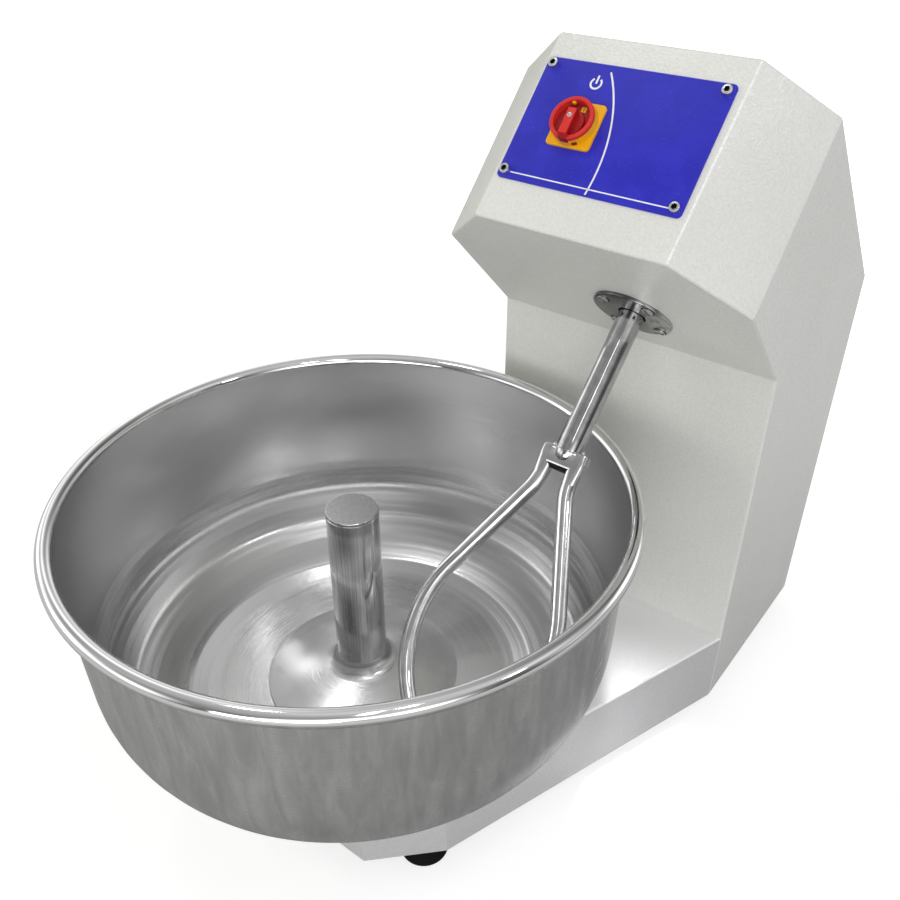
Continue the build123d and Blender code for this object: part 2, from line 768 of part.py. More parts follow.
wheel_hub_half = reducer_height / 2 - reducer_wall - slip_gap
with BuildPart() as worm_wheel:
    with BuildSketch(wheel_plane.offset(-wheel_face / 2)):
        Circle(wheel_root)
        for tooth in range(wheel_teeth):
            # A gap, not a tooth, faces the worm
            Polygon(*tooth_outline(-pi / 2 + (tooth + 0.5) * 2 * pi / wheel_teeth), align=None)
    extrude(amount=wheel_face)
    with BuildSketch(wheel_plane):
        Circle(wheel_hub_radius)
    extrude(amount=wheel_hub_half, both=True)
    with BuildSketch(wheel_plane):
        Circle(journal_radius + seat_gap)
    extrude(amount=wheel_hub_half, both=True, mode=Mode.SUBTRACT)
finish(worm_wheel, "worm_wheel")

# Worm: a single right-hand thread, made upright and then laid along X with its start towards the wheel
worm_plane = Plane(origin=worm_point, x_dir=to_wheel, z_dir=(1, 0, 0))
pulley_x = fork_x - reducer_half - pulley_from_reducer - pulley_width / 2
worm_shaft_left = worm_point.X - pulley_x + pulley_width / 2
worm_shaft_right = reducer_half


def worm_tooth_half(radius):
    """Half the width that the worm's thread has along the shaft at this radius."""
    return worm_lead / 4 - backlash / 4 - (radius - worm_pitch_radius) * tan(radians(pressure_angle))


thread_root = worm_root - 1
with BuildPart(mode=Mode.PRIVATE) as worm_thread:
    with BuildLine():
        Helix(worm_lead, worm_length, thread_root)
    with BuildSketch(Plane.XZ):
        Polygon(
            (thread_root, -worm_tooth_half(worm_root)),
            (worm_root, -worm_tooth_half(worm_root)),
            (worm_tip, -worm_tooth_half(worm_tip)),
            (worm_tip, worm_tooth_half(worm_tip)),
            (worm_root, worm_tooth_half(worm_root)),
            (thread_root, worm_tooth_half(worm_root)),
            align=None,
        )
    sweep(is_frenet=True)

core_half = reducer_half - reducer_end_wall
with BuildPart(worm_plane) as worm_shaft:
    Cylinder(worm_root, 2 * core_half)
    with Locations((0, 0, -worm_length / 2)):
        add(worm_thread.part)
    Cylinder(worm_journal, worm_shaft_right, align=STANDING)
    Cylinder(worm_journal, worm_shaft_left, align=HANGING)
finish(worm_shaft, "worm_shaft")

for bearing_name, level in (
    ("worm_bearing_left", -reducer_half),
    ("worm_bearing_right", reducer_half - worm_bearing_width),
):
    with BuildPart(worm_plane.offset(level)) as worm_bearing:
        add(bearing(worm_journal + running_gap, worm_bearing_radius, worm_bearing_width))
    finish(worm_bearing, bearing_name)

reducer_foot = fork_plane.offset(bearing_tube_end)
reducer_lid = fork_plane.offset(reducer_top)
reducer_middle = (room_front - room_back) / 2
reducer_size = (2 * reducer_half, room_front + room_back + 2 * reducer_wall)
room_size = (2 * core_half, room_front + room_back)
reducer_bolt_x = reducer_half - reducer_end_wall / 2
reducer_bolt_spots = [
    (side * reducer_bolt_x, y) for side in (-1, 1) for y in (room_front, reducer_bolt_setback - room_back)
]
with BuildPart() as reducer_housing:
    with BuildSketch(reducer_foot):
        with Locations((0, reducer_middle)):
            Rectangle(*reducer_size)
    extrude(amount=-reducer_height)
    fillet(reducer_housing.edges().filter_by(fork_axis), reducer_wall / 2)
    with BuildSketch(reducer_lid):
        with Locations((0, reducer_middle)):
            Rectangle(*room_size)
    extrude(amount=reducer_height - reducer_wall, mode=Mode.SUBTRACT)
    with BuildSketch(reducer_foot):
        Circle(journal_radius + slip_gap)
        with PolarLocations(mount_bolt_radius, mount_bolt_count, start_angle=mount_turn):
            Circle(m8_shank + bolt_gap)
    extrude(amount=-reducer_wall, mode=Mode.SUBTRACT)
    with BuildSketch(worm_plane):
        Circle(worm_bearing_radius + seat_gap)
    extrude(amount=reducer_half, both=True, mode=Mode.SUBTRACT)
    with BuildSketch(reducer_lid):
        with Locations(*reducer_bolt_spots):
            Circle(m8_shank + bolt_gap)
    extrude(amount=reducer_bolt_length, mode=Mode.SUBTRACT)
finish(reducer_housing, "reducer_housing")

with BuildPart() as reducer_cover:
    with BuildSketch(reducer_lid):
        with Locations((0, reducer_middle)):
            Rectangle(*reducer_size)
        with Locations(*reducer_bolt_spots):
            Circle(m8_shank + bolt_gap, mode=Mode.SUBTRACT)
    extrude(amount=-reducer_cover_height)
    with BuildSketch(reducer_lid):
        Circle(reducer_boss_radius)
    extrude(amount=-reducer_cover_height - reducer_boss_height)
    with BuildSketch(reducer_lid):
        Circle(fork_bearing_radius + seat_gap)
    extrude(amount=-fork_bearing_width, mode=Mode.SUBTRACT)
finish(reducer_cover, "reducer_cover")

cover_bolt = socket_screw(m8_shank, m8_head, m8_head_height, m8_socket, reducer_bolt_length)
mount_bolt = socket_screw(m8_shank, m8_head, m8_head_height, m8_socket, mount_bolt_length)
cover_bolt_plane = Plane(
    origin=reducer_lid.offset(-reducer_cover_height).origin, x_dir=(1, 0, 0), z_dir=-fork_dir
)
with BuildPart() as reducer_bolts:
    # The second plane faces the other way, so its y is turned over
    with Locations(cover_bolt_plane):
        with Locations(*[(x, -y) for x, y in reducer_bolt_spots]):
            add(cover_bolt)
    with Locations(reducer_foot.offset(mount_flange_thickness)):
        with PolarLocations(mount_bolt_radius, mount_bolt_count, start_angle=mount_turn):
            add(mount_bolt)
finish(reducer_bolts, "reducer_bolts")

with BuildPart(reducer_lid.offset(-fork_bearing_width)) as wheel_bearing:
    add(bearing(journal_radius + running_gap, fork_bearing_radius, fork_bearing_width))
finish(wheel_bearing, "wheel_bearing")

# Belt drive from the motor up to the worm
motor_y = front_y + motor_behind_front
motor_plane = Plane(origin=(pulley_x, motor_y, motor_z), x_dir=(0, 1, 0), z_dir=(1, 0, 0))
belt_plane = Plane(origin=(pulley_x, worm_point.Y, worm_point.Z), x_dir=(0, 1, 0), z_dir=(1, 0, 0))
groove_half = belt_width / 2 + slip_gap
for pulley_name, plane, radius, bore in (
    ("reducer_pulley", belt_plane, reducer_pulley_radius, worm_journal),
    ("motor_pulley", motor_plane, motor_pulley_radius, motor_shaft_radius),
):
    with BuildPart(plane) as pulley:
        Cylinder(radius + slip_gap, pulley_width)
        Cylinder(radius + slip_gap, 2 * groove_half, mode=Mode.SUBTRACT)
        Cylinder(radius - belt_thickness - slip_gap, 2 * groove_half)
        Cylinder(bore + seat_gap, pulley_width, mode=Mode.SUBTRACT)
    finish(pulley, pulley_name)

motor_spot = belt_plane.to_local_coords(motor_plane.origin)
with BuildPart() as drive_belt:
    for inset, mode in ((0, Mode.ADD), (belt_thickness, Mode.SUBTRACT)):
        with BuildSketch(belt_plane):
            Circle(reducer_pulley_radius - inset)
            with Locations((motor_spot.X, motor_spot.Y)):
                Circle(motor_pulley_radius - inset)
            make_hull()
        extrude(amount=belt_width / 2, both=True, mode=mode)
finish(drive_belt, "drive_belt")

# Motor
shield_left = pulley_width / 2 + motor_from_pulley
frame_left = shield_left + shield_thickness
frame_right = frame_left + motor_length
shield_right = frame_right + shield_thickness
fan_at = shield_right + fan_from_shield
shelf_top = motor_z - motor_foot_height
frame_plane = motor_plane.offset(frame_left)
motor_middle = pulley_x + (frame_left + frame_right) / 2
pad_top = motor_z + motor_radius + fin_height
foot_plane = Plane(origin=(motor_middle, motor_y, shelf_top))
motor_bolt_grid = (motor_foot_length - 2 * motor_bolt_inset, motor_foot_width - 2 * motor_bolt_inset)
with BuildPart() as motor_frame:
    with BuildSketch(frame_plane):
        Circle(motor_radius)
        with PolarLocations(motor_radius, fin_count):
            Rectangle(2 * fin_height, fin_width)
    extrude(amount=motor_length)
    with BuildSketch(foot_plane):
        Rectangle(motor_foot_length, motor_foot_width)
    extrude(amount=motor_foot_thickness)
    with BuildSketch(foot_plane):
        with GridLocations(0, motor_radius, 1, 2):
            Rectangle(motor_foot_length, motor_foot_thickness)
    extrude(amount=motor_foot_height)
    with BuildSketch(Plane(origin=(motor_middle, motor_y, motor_z))):
        Rectangle(terminal_box_length, terminal_box_width)
    extrude(amount=pad_top - motor_z)
    with BuildSketch(frame_plane):
        Circle(motor_radius - motor_wall)
    extrude(amount=motor_length, mode=Mode.SUBTRACT)
    with BuildSketch(foot_plane):
        with GridLocations(*motor_bolt_grid, 2, 2):
            Circle(m8_shank + bolt_gap)
    extrude(amount=motor_foot_thickness, mode=Mode.SUBTRACT)
finish(motor_frame, "motor_frame")

rotor_length = motor_length - 2 * rotor_end_gap
with BuildPart() as motor_stator:
    with BuildSketch(frame_plane.offset(rotor_end_gap)):
        Circle(motor_radius - motor_wall - seat_gap)
        Circle(rotor_radius + stator_gap, mode=Mode.SUBTRACT)
    extrude(amount=rotor_length)
finish(motor_stator, "motor_stator")

for shield_name, level in (("motor_shield_left", shield_left), ("motor_shield_right", frame_right)):
    with BuildPart(motor_plane.offset(level)) as shield:
        Cylinder(motor_radius, shield_thickness, align=STANDING)
        fillet(shield.edges().filter_by(GeomType.CIRCLE), shield_thickness / 6)
        Cylinder(motor_shaft_radius + running_gap, shield_thickness, align=STANDING, mode=Mode.SUBTRACT)
    finish(shield, shield_name)

motor_shaft_end = fan_at + fan_disc + fan_blade_height
with BuildPart() as motor_shaft:
    with BuildSketch(motor_plane.offset(-pulley_width / 2)):
        Circle(motor_shaft_radius)
    extrude(amount=motor_shaft_end + pulley_width / 2)
    with BuildSketch(frame_plane.offset(rotor_end_gap)):
        Circle(rotor_radius)
    extrude(amount=rotor_length)
finish(motor_shaft, "motor_shaft")

blade_length = fan_radius - fan_hub_radius
with BuildPart() as motor_fan:
    with BuildSketch(motor_plane.offset(fan_at)):
        Circle(fan_radius)
    extrude(amount=fan_disc)
    with BuildSketch(motor_plane.offset(fan_at)):
        Circle(fan_hub_radius)
        with PolarLocations((fan_hub_radius + fan_radius) / 2 - fan_blade_thickness, fan_blade_count):
            Rectangle(blade_length, fan_blade_thickness)
    extrude(amount=fan_disc + fan_blade_height)
    with BuildSketch(motor_plane.offset(fan_at)):
        Circle(motor_shaft_radius + seat_gap)
    extrude(amount=fan_disc + fan_blade_height, mode=Mode.SUBTRACT)
finish(motor_fan, "motor_fan")

cover_inner = motor_radius + slip_gap
hood_start = shield_right - shield_thickness / 2
with BuildPart() as motor_fan_cover:
    with BuildSketch(motor_plane.offset(hood_start)):
        Circle(cover_inner + fan_cover_sheet)
    extrude(amount=fan_cover_length)
    fillet(motor_fan_cover.edges().group_by(Axis.X)[-1], 2 * fan_cover_sheet)
    with BuildSketch(motor_plane.offset(hood_start)):
        Circle(cover_inner)
    extrude(amount=fan_cover_length - fan_cover_sheet, mode=Mode.SUBTRACT)
    with BuildSketch(motor_plane.offset(hood_start + fan_cover_length)):
        for ring in (1, 2, 3):
            with PolarLocations(ring * cover_inner / 4, 6 * ring):
                Circle(fan_hole_radius)
    extrude(amount=-fan_cover_sheet, mode=Mode.SUBTRACT)
finish(motor_fan_cover, "motor_fan_cover")

with BuildPart() as motor_terminal_box:
    with BuildSketch(Plane(origin=(motor_middle, motor_y, pad_top))):
        Rectangle(terminal_box_length, terminal_box_width)
    extrude(amount=terminal_box_height)
    fillet(motor_terminal_box.edges().filter_by(Axis.Z), switch_corner)
    fillet(motor_terminal_box.edges().group_by(Axis.Z)[-1], plate_thickness)
finish(motor_terminal_box, "motor_terminal_box")

shelf_width = column_width - 2 * sheet
with BuildPart() as motor_shelf:
    with BuildSketch(Plane(origin=(column_x, motor_y, shelf_top))):
        Rectangle(shelf_width, shelf_depth)
    extrude(amount=-shelf_flange)
    with BuildSketch(Plane(origin=(column_x, motor_y, shelf_top - shelf_thickness))):
        Rectangle(shelf_width - 2 * shelf_thickness, shelf_depth)
    extrude(amount=-shelf_flange, mode=Mode.SUBTRACT)
    with BuildSketch(foot_plane):
        with GridLocations(*motor_bolt_grid, 2, 2):
            Circle(m8_shank + bolt_gap)
    extrude(amount=-shelf_thickness, mode=Mode.SUBTRACT)
finish(motor_shelf, "motor_shelf")

motor_bolt = socket_screw(m8_shank, m8_head, m8_head_height, m8_socket, motor_bolt_length)
with BuildPart(foot_plane.offset(motor_foot_thickness)) as motor_bolts:
    with GridLocations(*motor_bolt_grid, 2, 2):
        add(motor_bolt)
finish(motor_bolts, "motor_bolts")

# Cable gland: its nut outside, its thread through the sheet and its locknut inside
with BuildPart() as cable_gland:
    with BuildSketch(gland_plane):
        RegularPolygon(gland_flats / 2, 6, major_radius=False)
    extrude(amount=gland_nut_height)
    with BuildSketch(gland_plane):
        Circle(gland_thread)
    extrude(amount=gland_nut_height + gland_dome)
    fillet(cable_gland.edges().group_by(Axis.X)[0], gland_thread / 2)
    with BuildSketch(gland_plane):
        Circle(gland_thread)
    extrude(amount=-sheet)
    with BuildSketch(gland_plane.offset(-sheet)):
        RegularPolygon(gland_flats / 2, 6, major_radius=False)
    extrude(amount=-gland_nut_height / 2)
    with BuildSketch(gland_plane.offset(gland_nut_height + gland_dome)):
        Circle(gland_bore)
    extrude(amount=-2 * gland_nut_height - gland_dome - sheet, mode=Mode.SUBTRACT)
finish(cable_gland, "cable_gland")

# Bowl: a spun shell with a rolled rim
wall_cos = cos(radians(wall_lean))
wall_top_inner = rim_radius - bead_radius
wall_top = wall_top_inner + bowl_sheet / wall_cos
corner_z = bowl_bottom + bowl_corner
corner_r = wall_top - (rim_z - corner_z) * tan(radians(wall_lean)) - bowl_corner / wall_cos
corner_inner = bowl_corner - bowl_sheet
arc_middle = radians(45 - wall_lean / 2)


def corner_point(radius, angle):
    """A point of the bowl's rounded corner, as its radius and height, from straight down outwards."""
    return (corner_r + radius * sin(angle), corner_z - radius * cos(angle))


arc_end = radians(90 - wall_lean)
with BuildPart() as bowl_shell:
    with BuildSketch(bowl_section):
        with BuildLine():
            Polyline((0, bowl_floor), (0, bowl_bottom), (corner_r, bowl_bottom))
            ThreePointArc(
                (corner_r, bowl_bottom),
                corner_point(bowl_corner, arc_middle),
                corner_point(bowl_corner, arc_end),
            )
            Polyline(
                corner_point(bowl_corner, arc_end),
                (wall_top, rim_z),
                (wall_top_inner, rim_z),
                corner_point(corner_inner, arc_end),
            )
            ThreePointArc(
                corner_point(corner_inner, arc_end),
                corner_point(corner_inner, arc_middle),
                (corner_r, bowl_floor),
            )
            Line((corner_r, bowl_floor), (0, bowl_floor))
        make_face()
        with Locations((rim_radius, rim_z)):
            Circle(bead_radius)
    revolve(axis=bowl_axis)
    with BuildSketch(Plane(origin=(0, bowl_y, bowl_bottom))):
        with PolarLocations(hub_bolt_radius, hub_bolt_count):
            Circle(m8_shank + bolt_gap)
    extrude(amount=bowl_sheet, mode=Mode.SUBTRACT)
finish(bowl_shell, "bowl_shell")

cone_slope = cone_rise / (cone_radius - collar_radius)
cone_edge_top = bowl_floor + bowl_sheet


def cone_top(radius):
    """Height of the cone's upper face at this radius."""
    return cone_edge_top + (cone_radius - radius) * cone_slope


cone_hole = post_radius + seat_gap
with BuildPart() as bowl_cone:
    with BuildSketch(bowl_section):
        Polygon(
            (cone_radius, bowl_floor),
            (cone_radius, cone_top(cone_radius)),
            (cone_hole, cone_top(cone_hole)),
            (cone_hole, cone_top(cone_hole) - bowl_sheet),
            align=None,
        )
    revolve(axis=bowl_axis)
finish(bowl_cone, "bowl_cone")

neck_radius = post_radius + collar_lip
collar_foot = (collar_radius, cone_top(collar_radius))
collar_run = (neck_radius - collar_radius, cone_top(neck_radius) - cone_top(collar_radius))
collar_top = cone_top(neck_radius) + hypot(*collar_run)
collar_neck = (neck_radius, collar_top)
with BuildPart() as bowl_post_collar:
    with BuildSketch(bowl_section):
        with BuildLine():
            TangentArc(collar_foot, collar_neck, tangent=collar_run)
            Polyline(collar_neck, (cone_hole, collar_top), (cone_hole, cone_top(cone_hole)), collar_foot)
        make_face()
    revolve(axis=bowl_axis)
finish(bowl_post_collar, "bowl_post_collar")

post_plane = Plane(origin=(0, bowl_y, bowl_floor))
post_length = post_height - post_cap_height
with BuildPart(post_plane) as bowl_post:
    Cylinder(post_radius, post_length, align=STANDING)
    Cylinder(post_radius - post_wall, post_length, align=STANDING, mode=Mode.SUBTRACT)
finish(bowl_post, "bowl_post")

with BuildPart(post_plane.offset(post_length)) as bowl_post_cap:
    Cylinder(post_radius, post_cap_height, align=STANDING)
    fillet(bowl_post_cap.edges().group_by(Axis.Z)[-1], post_edge)
finish(bowl_post_cap, "bowl_post_cap")

# Bowl bearing under the floor of the bowl
hub_bottom = bowl_bottom - hub_thickness
flange_top = base_top + housing_flange_height
upper_top = flange_top - housing_lip
lower_top = upper_top - bowl_bearing_spacing
housing_end = lower_top - bowl_bearing_width
spindle_end = housing_end - spindle_nut_height
race_outer = spindle_radius + (bowl_bearing_radius - spindle_radius) / 4
with BuildPart() as bowl_hub:
    with BuildSketch(bowl_section):
        Polygon(
            (0, bowl_bottom),
            (hub_radius, bowl_bottom),
            (hub_radius, hub_bottom),
            (hub_boss_radius, hub_bottom),
            (hub_boss_radius, upper_top + hub_step),
            (race_outer, upper_top + hub_step),
            (race_outer, upper_top),
            (spindle_radius, upper_top),
            (spindle_radius, spindle_end),
            (0, spindle_end),
            align=None,
        )
    revolve(axis=bowl_axis)
    with BuildSketch(Plane(origin=(0, bowl_y, bowl_bottom))):
        with PolarLocations(hub_bolt_radius, hub_bolt_count):
            Circle(m8_shank + bolt_gap)
    extrude(amount=-hub_thickness, mode=Mode.SUBTRACT)
finish(bowl_hub, "bowl_hub")

hub_bolt = socket_screw(
    m8_shank, m8_head, m8_head_height, m8_socket, bowl_sheet + hub_thickness - hub_bolt_end
)
with BuildPart(post_plane) as bowl_hub_bolts:
    with PolarLocations(hub_bolt_radius, hub_bolt_count):
        add(hub_bolt)
finish(bowl_hub_bolts, "bowl_hub_bolts")

with BuildPart() as bowl_bearing_housing:
    with BuildSketch(bowl_section):
        Polygon(
            (bowl_bearing_radius + seat_gap, flange_top),
            (housing_flange_radius, flange_top),
            (housing_flange_radius, base_top),
            (housing_radius, base_top),
            (housing_radius, housing_end),
            (bowl_bearing_radius + seat_gap, housing_end),
            (bowl_bearing_radius + seat_gap, lower_top),
            (bowl_bearing_radius - housing_shoulder, lower_top),
            (bowl_bearing_radius - housing_shoulder, upper_top - bowl_bearing_width),
            (bowl_bearing_radius + seat_gap, upper_top - bowl_bearing_width),
            align=None,
        )
    revolve(axis=bowl_axis)
    with BuildSketch(Plane(origin=(0, bowl_y, flange_top))):
        with PolarLocations(housing_bolt_radius, housing_bolt_count):
            Circle(m8_shank + bolt_gap)
    extrude(amount=-housing_flange_height, mode=Mode.SUBTRACT)
finish(bowl_bearing_housing, "bowl_bearing_housing")

for bearing_name, top in (("bowl_bearing_upper", upper_top), ("bowl_bearing_lower", lower_top)):
    with BuildPart(Plane(origin=(0, bowl_y, top - bowl_bearing_width))) as bowl_bearing:
        add(bearing(spindle_radius + running_gap, bowl_bearing_radius, bowl_bearing_width))
    finish(bowl_bearing, bearing_name)

housing_bolt = socket_screw(m8_shank, m8_head, m8_head_height, m8_socket, housing_bolt_length)
with BuildPart(Plane(origin=(0, bowl_y, flange_top))) as bowl_housing_bolts:
    with PolarLocations(housing_bolt_radius, housing_bolt_count):
        add(housing_bolt)
finish(bowl_housing_bolts, "bowl_housing_bolts")

with BuildPart() as bowl_spindle_nut:
    with BuildSketch(Plane(origin=(0, bowl_y, housing_end))):
        RegularPolygon(spindle_nut_flats / 2, 6, major_radius=False)
        Circle(spindle_radius + seat_gap, mode=Mode.SUBTRACT)
    extrude(amount=-spindle_nut_height)
finish(bowl_spindle_nut, "bowl_spindle_nut")
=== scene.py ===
# %% [markdown]
# # A fork dough mixer
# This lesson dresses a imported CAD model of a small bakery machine: a spun steel bowl that idles on a low
# base, and a white head that drives a two-tined fork. The frame holds every solid where it belongs, so a
# new piece only has to look right where its solid already stands. Pieces that the solid shows well keep
# the solid and get a finish; pieces with soft, turned or welded forms are modelled again.

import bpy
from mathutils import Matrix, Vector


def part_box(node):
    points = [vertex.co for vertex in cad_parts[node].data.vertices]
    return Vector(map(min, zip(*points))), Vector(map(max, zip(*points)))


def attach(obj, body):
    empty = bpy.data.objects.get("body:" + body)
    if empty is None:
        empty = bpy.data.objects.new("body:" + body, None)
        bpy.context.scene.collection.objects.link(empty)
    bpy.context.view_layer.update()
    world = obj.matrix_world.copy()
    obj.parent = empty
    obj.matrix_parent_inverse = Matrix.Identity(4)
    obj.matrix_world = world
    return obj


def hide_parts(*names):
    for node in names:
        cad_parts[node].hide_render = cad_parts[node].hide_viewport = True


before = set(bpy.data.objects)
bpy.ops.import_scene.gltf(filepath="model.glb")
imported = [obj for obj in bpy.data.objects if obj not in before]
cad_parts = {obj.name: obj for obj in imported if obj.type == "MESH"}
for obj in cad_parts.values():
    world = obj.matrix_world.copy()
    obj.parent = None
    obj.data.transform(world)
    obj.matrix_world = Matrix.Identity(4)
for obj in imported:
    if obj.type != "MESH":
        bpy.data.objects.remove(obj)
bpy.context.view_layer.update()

# %% [markdown]
# ## Viewpoint
# The picture was taken by somebody who stood in front of the bowl, to its right, and looked down on it.
# A camera could be aimed with a constraint, but three plain turns keep it readable: a heading about the
# upright, a tilt below the horizon and the small roll of a hand-held picture.

# %% Camera
import cmath
import math

import bmesh
import bpy
from mathutils import Matrix, Vector

scene = bpy.context.scene
scene.view_settings.view_transform = "Standard"


def add_object(name, data):
    """A new object of the scene."""
    made = bpy.data.objects.new(name, data)
    scene.collection.objects.link(made)
    return made


EYE = Vector((0.55079, -0.70740, 0.98136))
HEADING, TILT, ROLL = 0.62324, 0.58654, 0.01957
camera_data = bpy.data.cameras.new("viewpoint")
camera_data.sensor_width = 36
camera_data.lens = 37.23
camera_data.shift_x = -0.0352
camera_data.shift_y = 0.0076
camera = add_object("viewpoint", camera_data)
camera.matrix_world = (
    Matrix.Translation(EYE)
    @ Matrix.Rotation(HEADING, 4, "Z")
    @ Matrix.Rotation(math.pi / 2 - TILT, 4, "X")
    @ Matrix.Rotation(ROLL, 4, "Z")
)
scene.camera = camera
print("camera", camera_data.lens, "mm, eye at", tuple(EYE))

# %% [markdown]
# ## Shader sums
# A finish is easier to read as a sum than as a picture of nodes. This class wraps one socket, and the
# ordinary operators then add Math nodes behind the scenes. Everything that isn't plain arithmetic comes
# from one method, `node`, which takes the node's type, its settings and what goes into its sockets.

# %% Socket wrapper


class Socket:
    """One output socket of a node tree, on which Python's operators add Math nodes."""

    def __init__(self, tree, output):
        self.tree = tree
        self.output = output

    def node(self, kind, settings, sockets, output=0):
        """Add a node of this type, set it up, fill its sockets and return one of its outputs."""
        made = self.tree.nodes.new(kind)
        for name, value in settings.items():
            setattr(made, name, value)
        for name, value in sockets.items():
            if isinstance(value, Socket):
                self.tree.links.new(value.output, made.inputs[name])
            else:
                made.inputs[name].default_value = value
        return Socket(self.tree, made.outputs[output])

    def sum(self, operation, *values):
        return self.node("ShaderNodeMath", {"operation": operation}, dict(enumerate(values)))

    def arrows(self, operation, *values, output="Vector"):
        """A sum of vectors; a length or a dot product comes out of `Value`."""
        return self.node("ShaderNodeVectorMath", {"operation": operation}, dict(enumerate(values)), output)

    def ray(self, kind):
        """1 for rays of this kind, and 0 for the rest."""
        return self.node("ShaderNodeLightPath", {}, {}, f"Is {kind} Ray")

    def __add__(self, other):
        return self.sum("ADD", self, other)

    __radd__ = __add__

    def __sub__(self, other):
        return self.sum("SUBTRACT", self, other)

    def __rsub__(self, other):
        return self.sum("SUBTRACT", other, self)

    def __mul__(self, other):
        return self.sum("MULTIPLY", self, other)

    __rmul__ = __mul__

    def __truediv__(self, other):
        return self.sum("DIVIDE", self, other)

    def __pow__(self, other):
        return self.sum("POWER", self, other)

    def noise(self, scale, detail=2.0, roughness=0.5, distortion=0.0):
        """Noise from 0 to 1 on this vector; the scale is in lumps per metre."""
        sockets = {"Vector": self, "Scale": scale, "Detail": detail, "Roughness": roughness}
        return self.node("ShaderNodeTexNoise", {}, {**sockets, "Distortion": distortion}, "Fac")

    def between(self, low, high):
        """0 below low, 1 above high, and a soft step between."""
        limits = {"Value": self, "From Min": low, "From Max": high}
        return self.node("ShaderNodeMapRange", {"interpolation_type": "SMOOTHSTEP"}, limits)

    def stretch(self, scale, shift=(0, 0, 0)):
        """This vector moved and then scaled, so that a pattern can be centred and drawn out."""
        return self.arrows("MULTIPLY", self.arrows("ADD", self, shift), scale)

    def part(self, axis):
        return self.node("ShaderNodeSeparateXYZ", {}, {0: self}, axis)

    def vector(self, x, y, z):
        return self.node("ShaderNodeCombineXYZ", {}, {"X": x, "Y": y, "Z": z})

    def blend(self, low, high):
        """A colour from low to high as this value goes from 0 to 1."""
        return self.node("ShaderNodeMix", {"data_type": "RGBA"}, {0: self, 6: low, 7: high}, 2)


def grey(value):
    return (value, value, value, 1)


def new_finish(name, **constants):
    """A material, its shader set to these constants, and the Object coordinates to paint it by."""
    material = bpy.data.materials.new(name)
    material.use_nodes = True
    shader = material.node_tree.nodes["Principled BSDF"]
    for socket, value in constants.items():
        shader.inputs[socket.replace("_", " ")].default_value = value
    coordinates = material.node_tree.nodes.new("ShaderNodeTexCoord")
    return material, Socket(material.node_tree, coordinates.outputs["Object"])


def feed(finish, **links):
    """Link varying values to a finish; `relief`, a height and its depth in metres, becomes a bump."""
    shader = finish.node_tree.nodes["Principled BSDF"]
    for name, value in links.items():
        if name == "relief":
            height, distance = value
            value = height.node("ShaderNodeBump", {}, {"Height": height, "Distance": distance})
            name = "Normal"
        value.tree.links.new(value.output, shader.inputs[name.replace("_", " ")])
    return finish


print("shader sums ready")

# %% [markdown]
# ## Room and light
# The machine stands on a pale floor in a workshop. Metal shows what surrounds it, so the room matters as
# much as the lamps: dim walls with a ring of soft windows and roof lights give the steel its contrast.
# Each window is a soft spot of the world, by its direction. Small lamps give the glints on the paint, a
# low panel lights the front, and a narrow beam falls on the base behind the bowl. The camera itself sees
# white behind the machine, on the floor and beyond it.

# %% Floor, room and lamps


def to_mesh(name, bm):
    """A new mesh with the faces of a bmesh, which is freed."""
    mesh = bpy.data.meshes.new(name)
    bm.to_mesh(mesh)
    bm.free()
    return mesh


FLOOR_RADIUS = 14.0
CAMERA_GLOW, FAR_GLOW, MIRROR_GLOW = 0.70, 0.20, 0.26
FAR_START, FAR_END = 0.5, 2.2
MIRROR_START, MIRROR_END = 0.35, 1.3
floor_bm = bmesh.new()
bmesh.ops.create_circle(floor_bm, cap_ends=True, segments=96, radius=FLOOR_RADIUS)
floor_mesh = to_mesh("floor", floor_bm)
floor = add_object("floor", floor_mesh)

floor_finish, floor_place = new_finish("floor", Roughness=0.9, Emission_Strength=1.0)
by_mirror = floor_place.ray("Glossy") + floor_place.ray("Transmission")
reach = floor_place.arrows("LENGTH", floor_place, output="Value")
glow = floor_place.ray("Camera") * (CAMERA_GLOW + reach.between(FAR_START, FAR_END) * FAR_GLOW)
# Metal sees the floor's glow only away from the machine; close to it the glow is left out, a painted shade
# for the floor in the machine's shadow.
glow = glow + by_mirror * reach.between(MIRROR_START, MIRROR_END) * MIRROR_GLOW
feed(
    floor_finish,
    Base_Color=floor_place.noise(3.0).blend(grey(0.44), grey(0.46)),
    Emission_Color=glow.blend(grey(0.0), grey(1.0)),
)
floor_mesh.materials.append(floor_finish)

room = bpy.data.worlds.new("room")
scene.world = room
room.use_nodes = True
room_tree = room.node_tree
direction = Socket(room_tree, room_tree.nodes.new("ShaderNodeTexCoord").outputs["Generated"])
WALLS, MIRRORED_WALLS = 0.01, 0.085
WINDOWS = (  # elevation and half width in degrees, then strengths by the azimuth from the front
    (90, 22, {0: 0.72}),
    (48, 15, {0: 0.28, 60: 0.55, 120: 0.8, 240: 0.7, 300: 0.35}),
    (40, 7, {246: 0.9}),
    (15, 11, {30: 4.1, 60: 3.2, 120: 0.65, 150: 2.7, 180: 0.5}),
    (15, 11, {210: 1.0, 240: 1.9, 270: 1.95, 300: 2.8, 330: 1.9}),
)
WARM_LEFT, COOL_RIGHT = (1.03, 1.035, 0.93, 1), (0.985, 0.985, 1.03, 1)
hall = WALLS
for elevation, spread, ring in WINDOWS:
    ahead, up = math.cos(math.radians(elevation)), math.sin(math.radians(elevation))
    falloff = math.log(2) / (1 - math.cos(math.radians(spread)))
    for azimuth, strength in ring.items():
        turn = math.radians(azimuth)
        aim = (ahead * math.sin(turn), -ahead * math.cos(turn), up)
        facing = direction.arrows("DOT_PRODUCT", direction, aim, output="Value")
        hall = hall + strength * direction.sum("EXPONENT", (facing - 1.0) * falloff)
mirrored = direction.ray("Glossy") + direction.ray("Transmission")
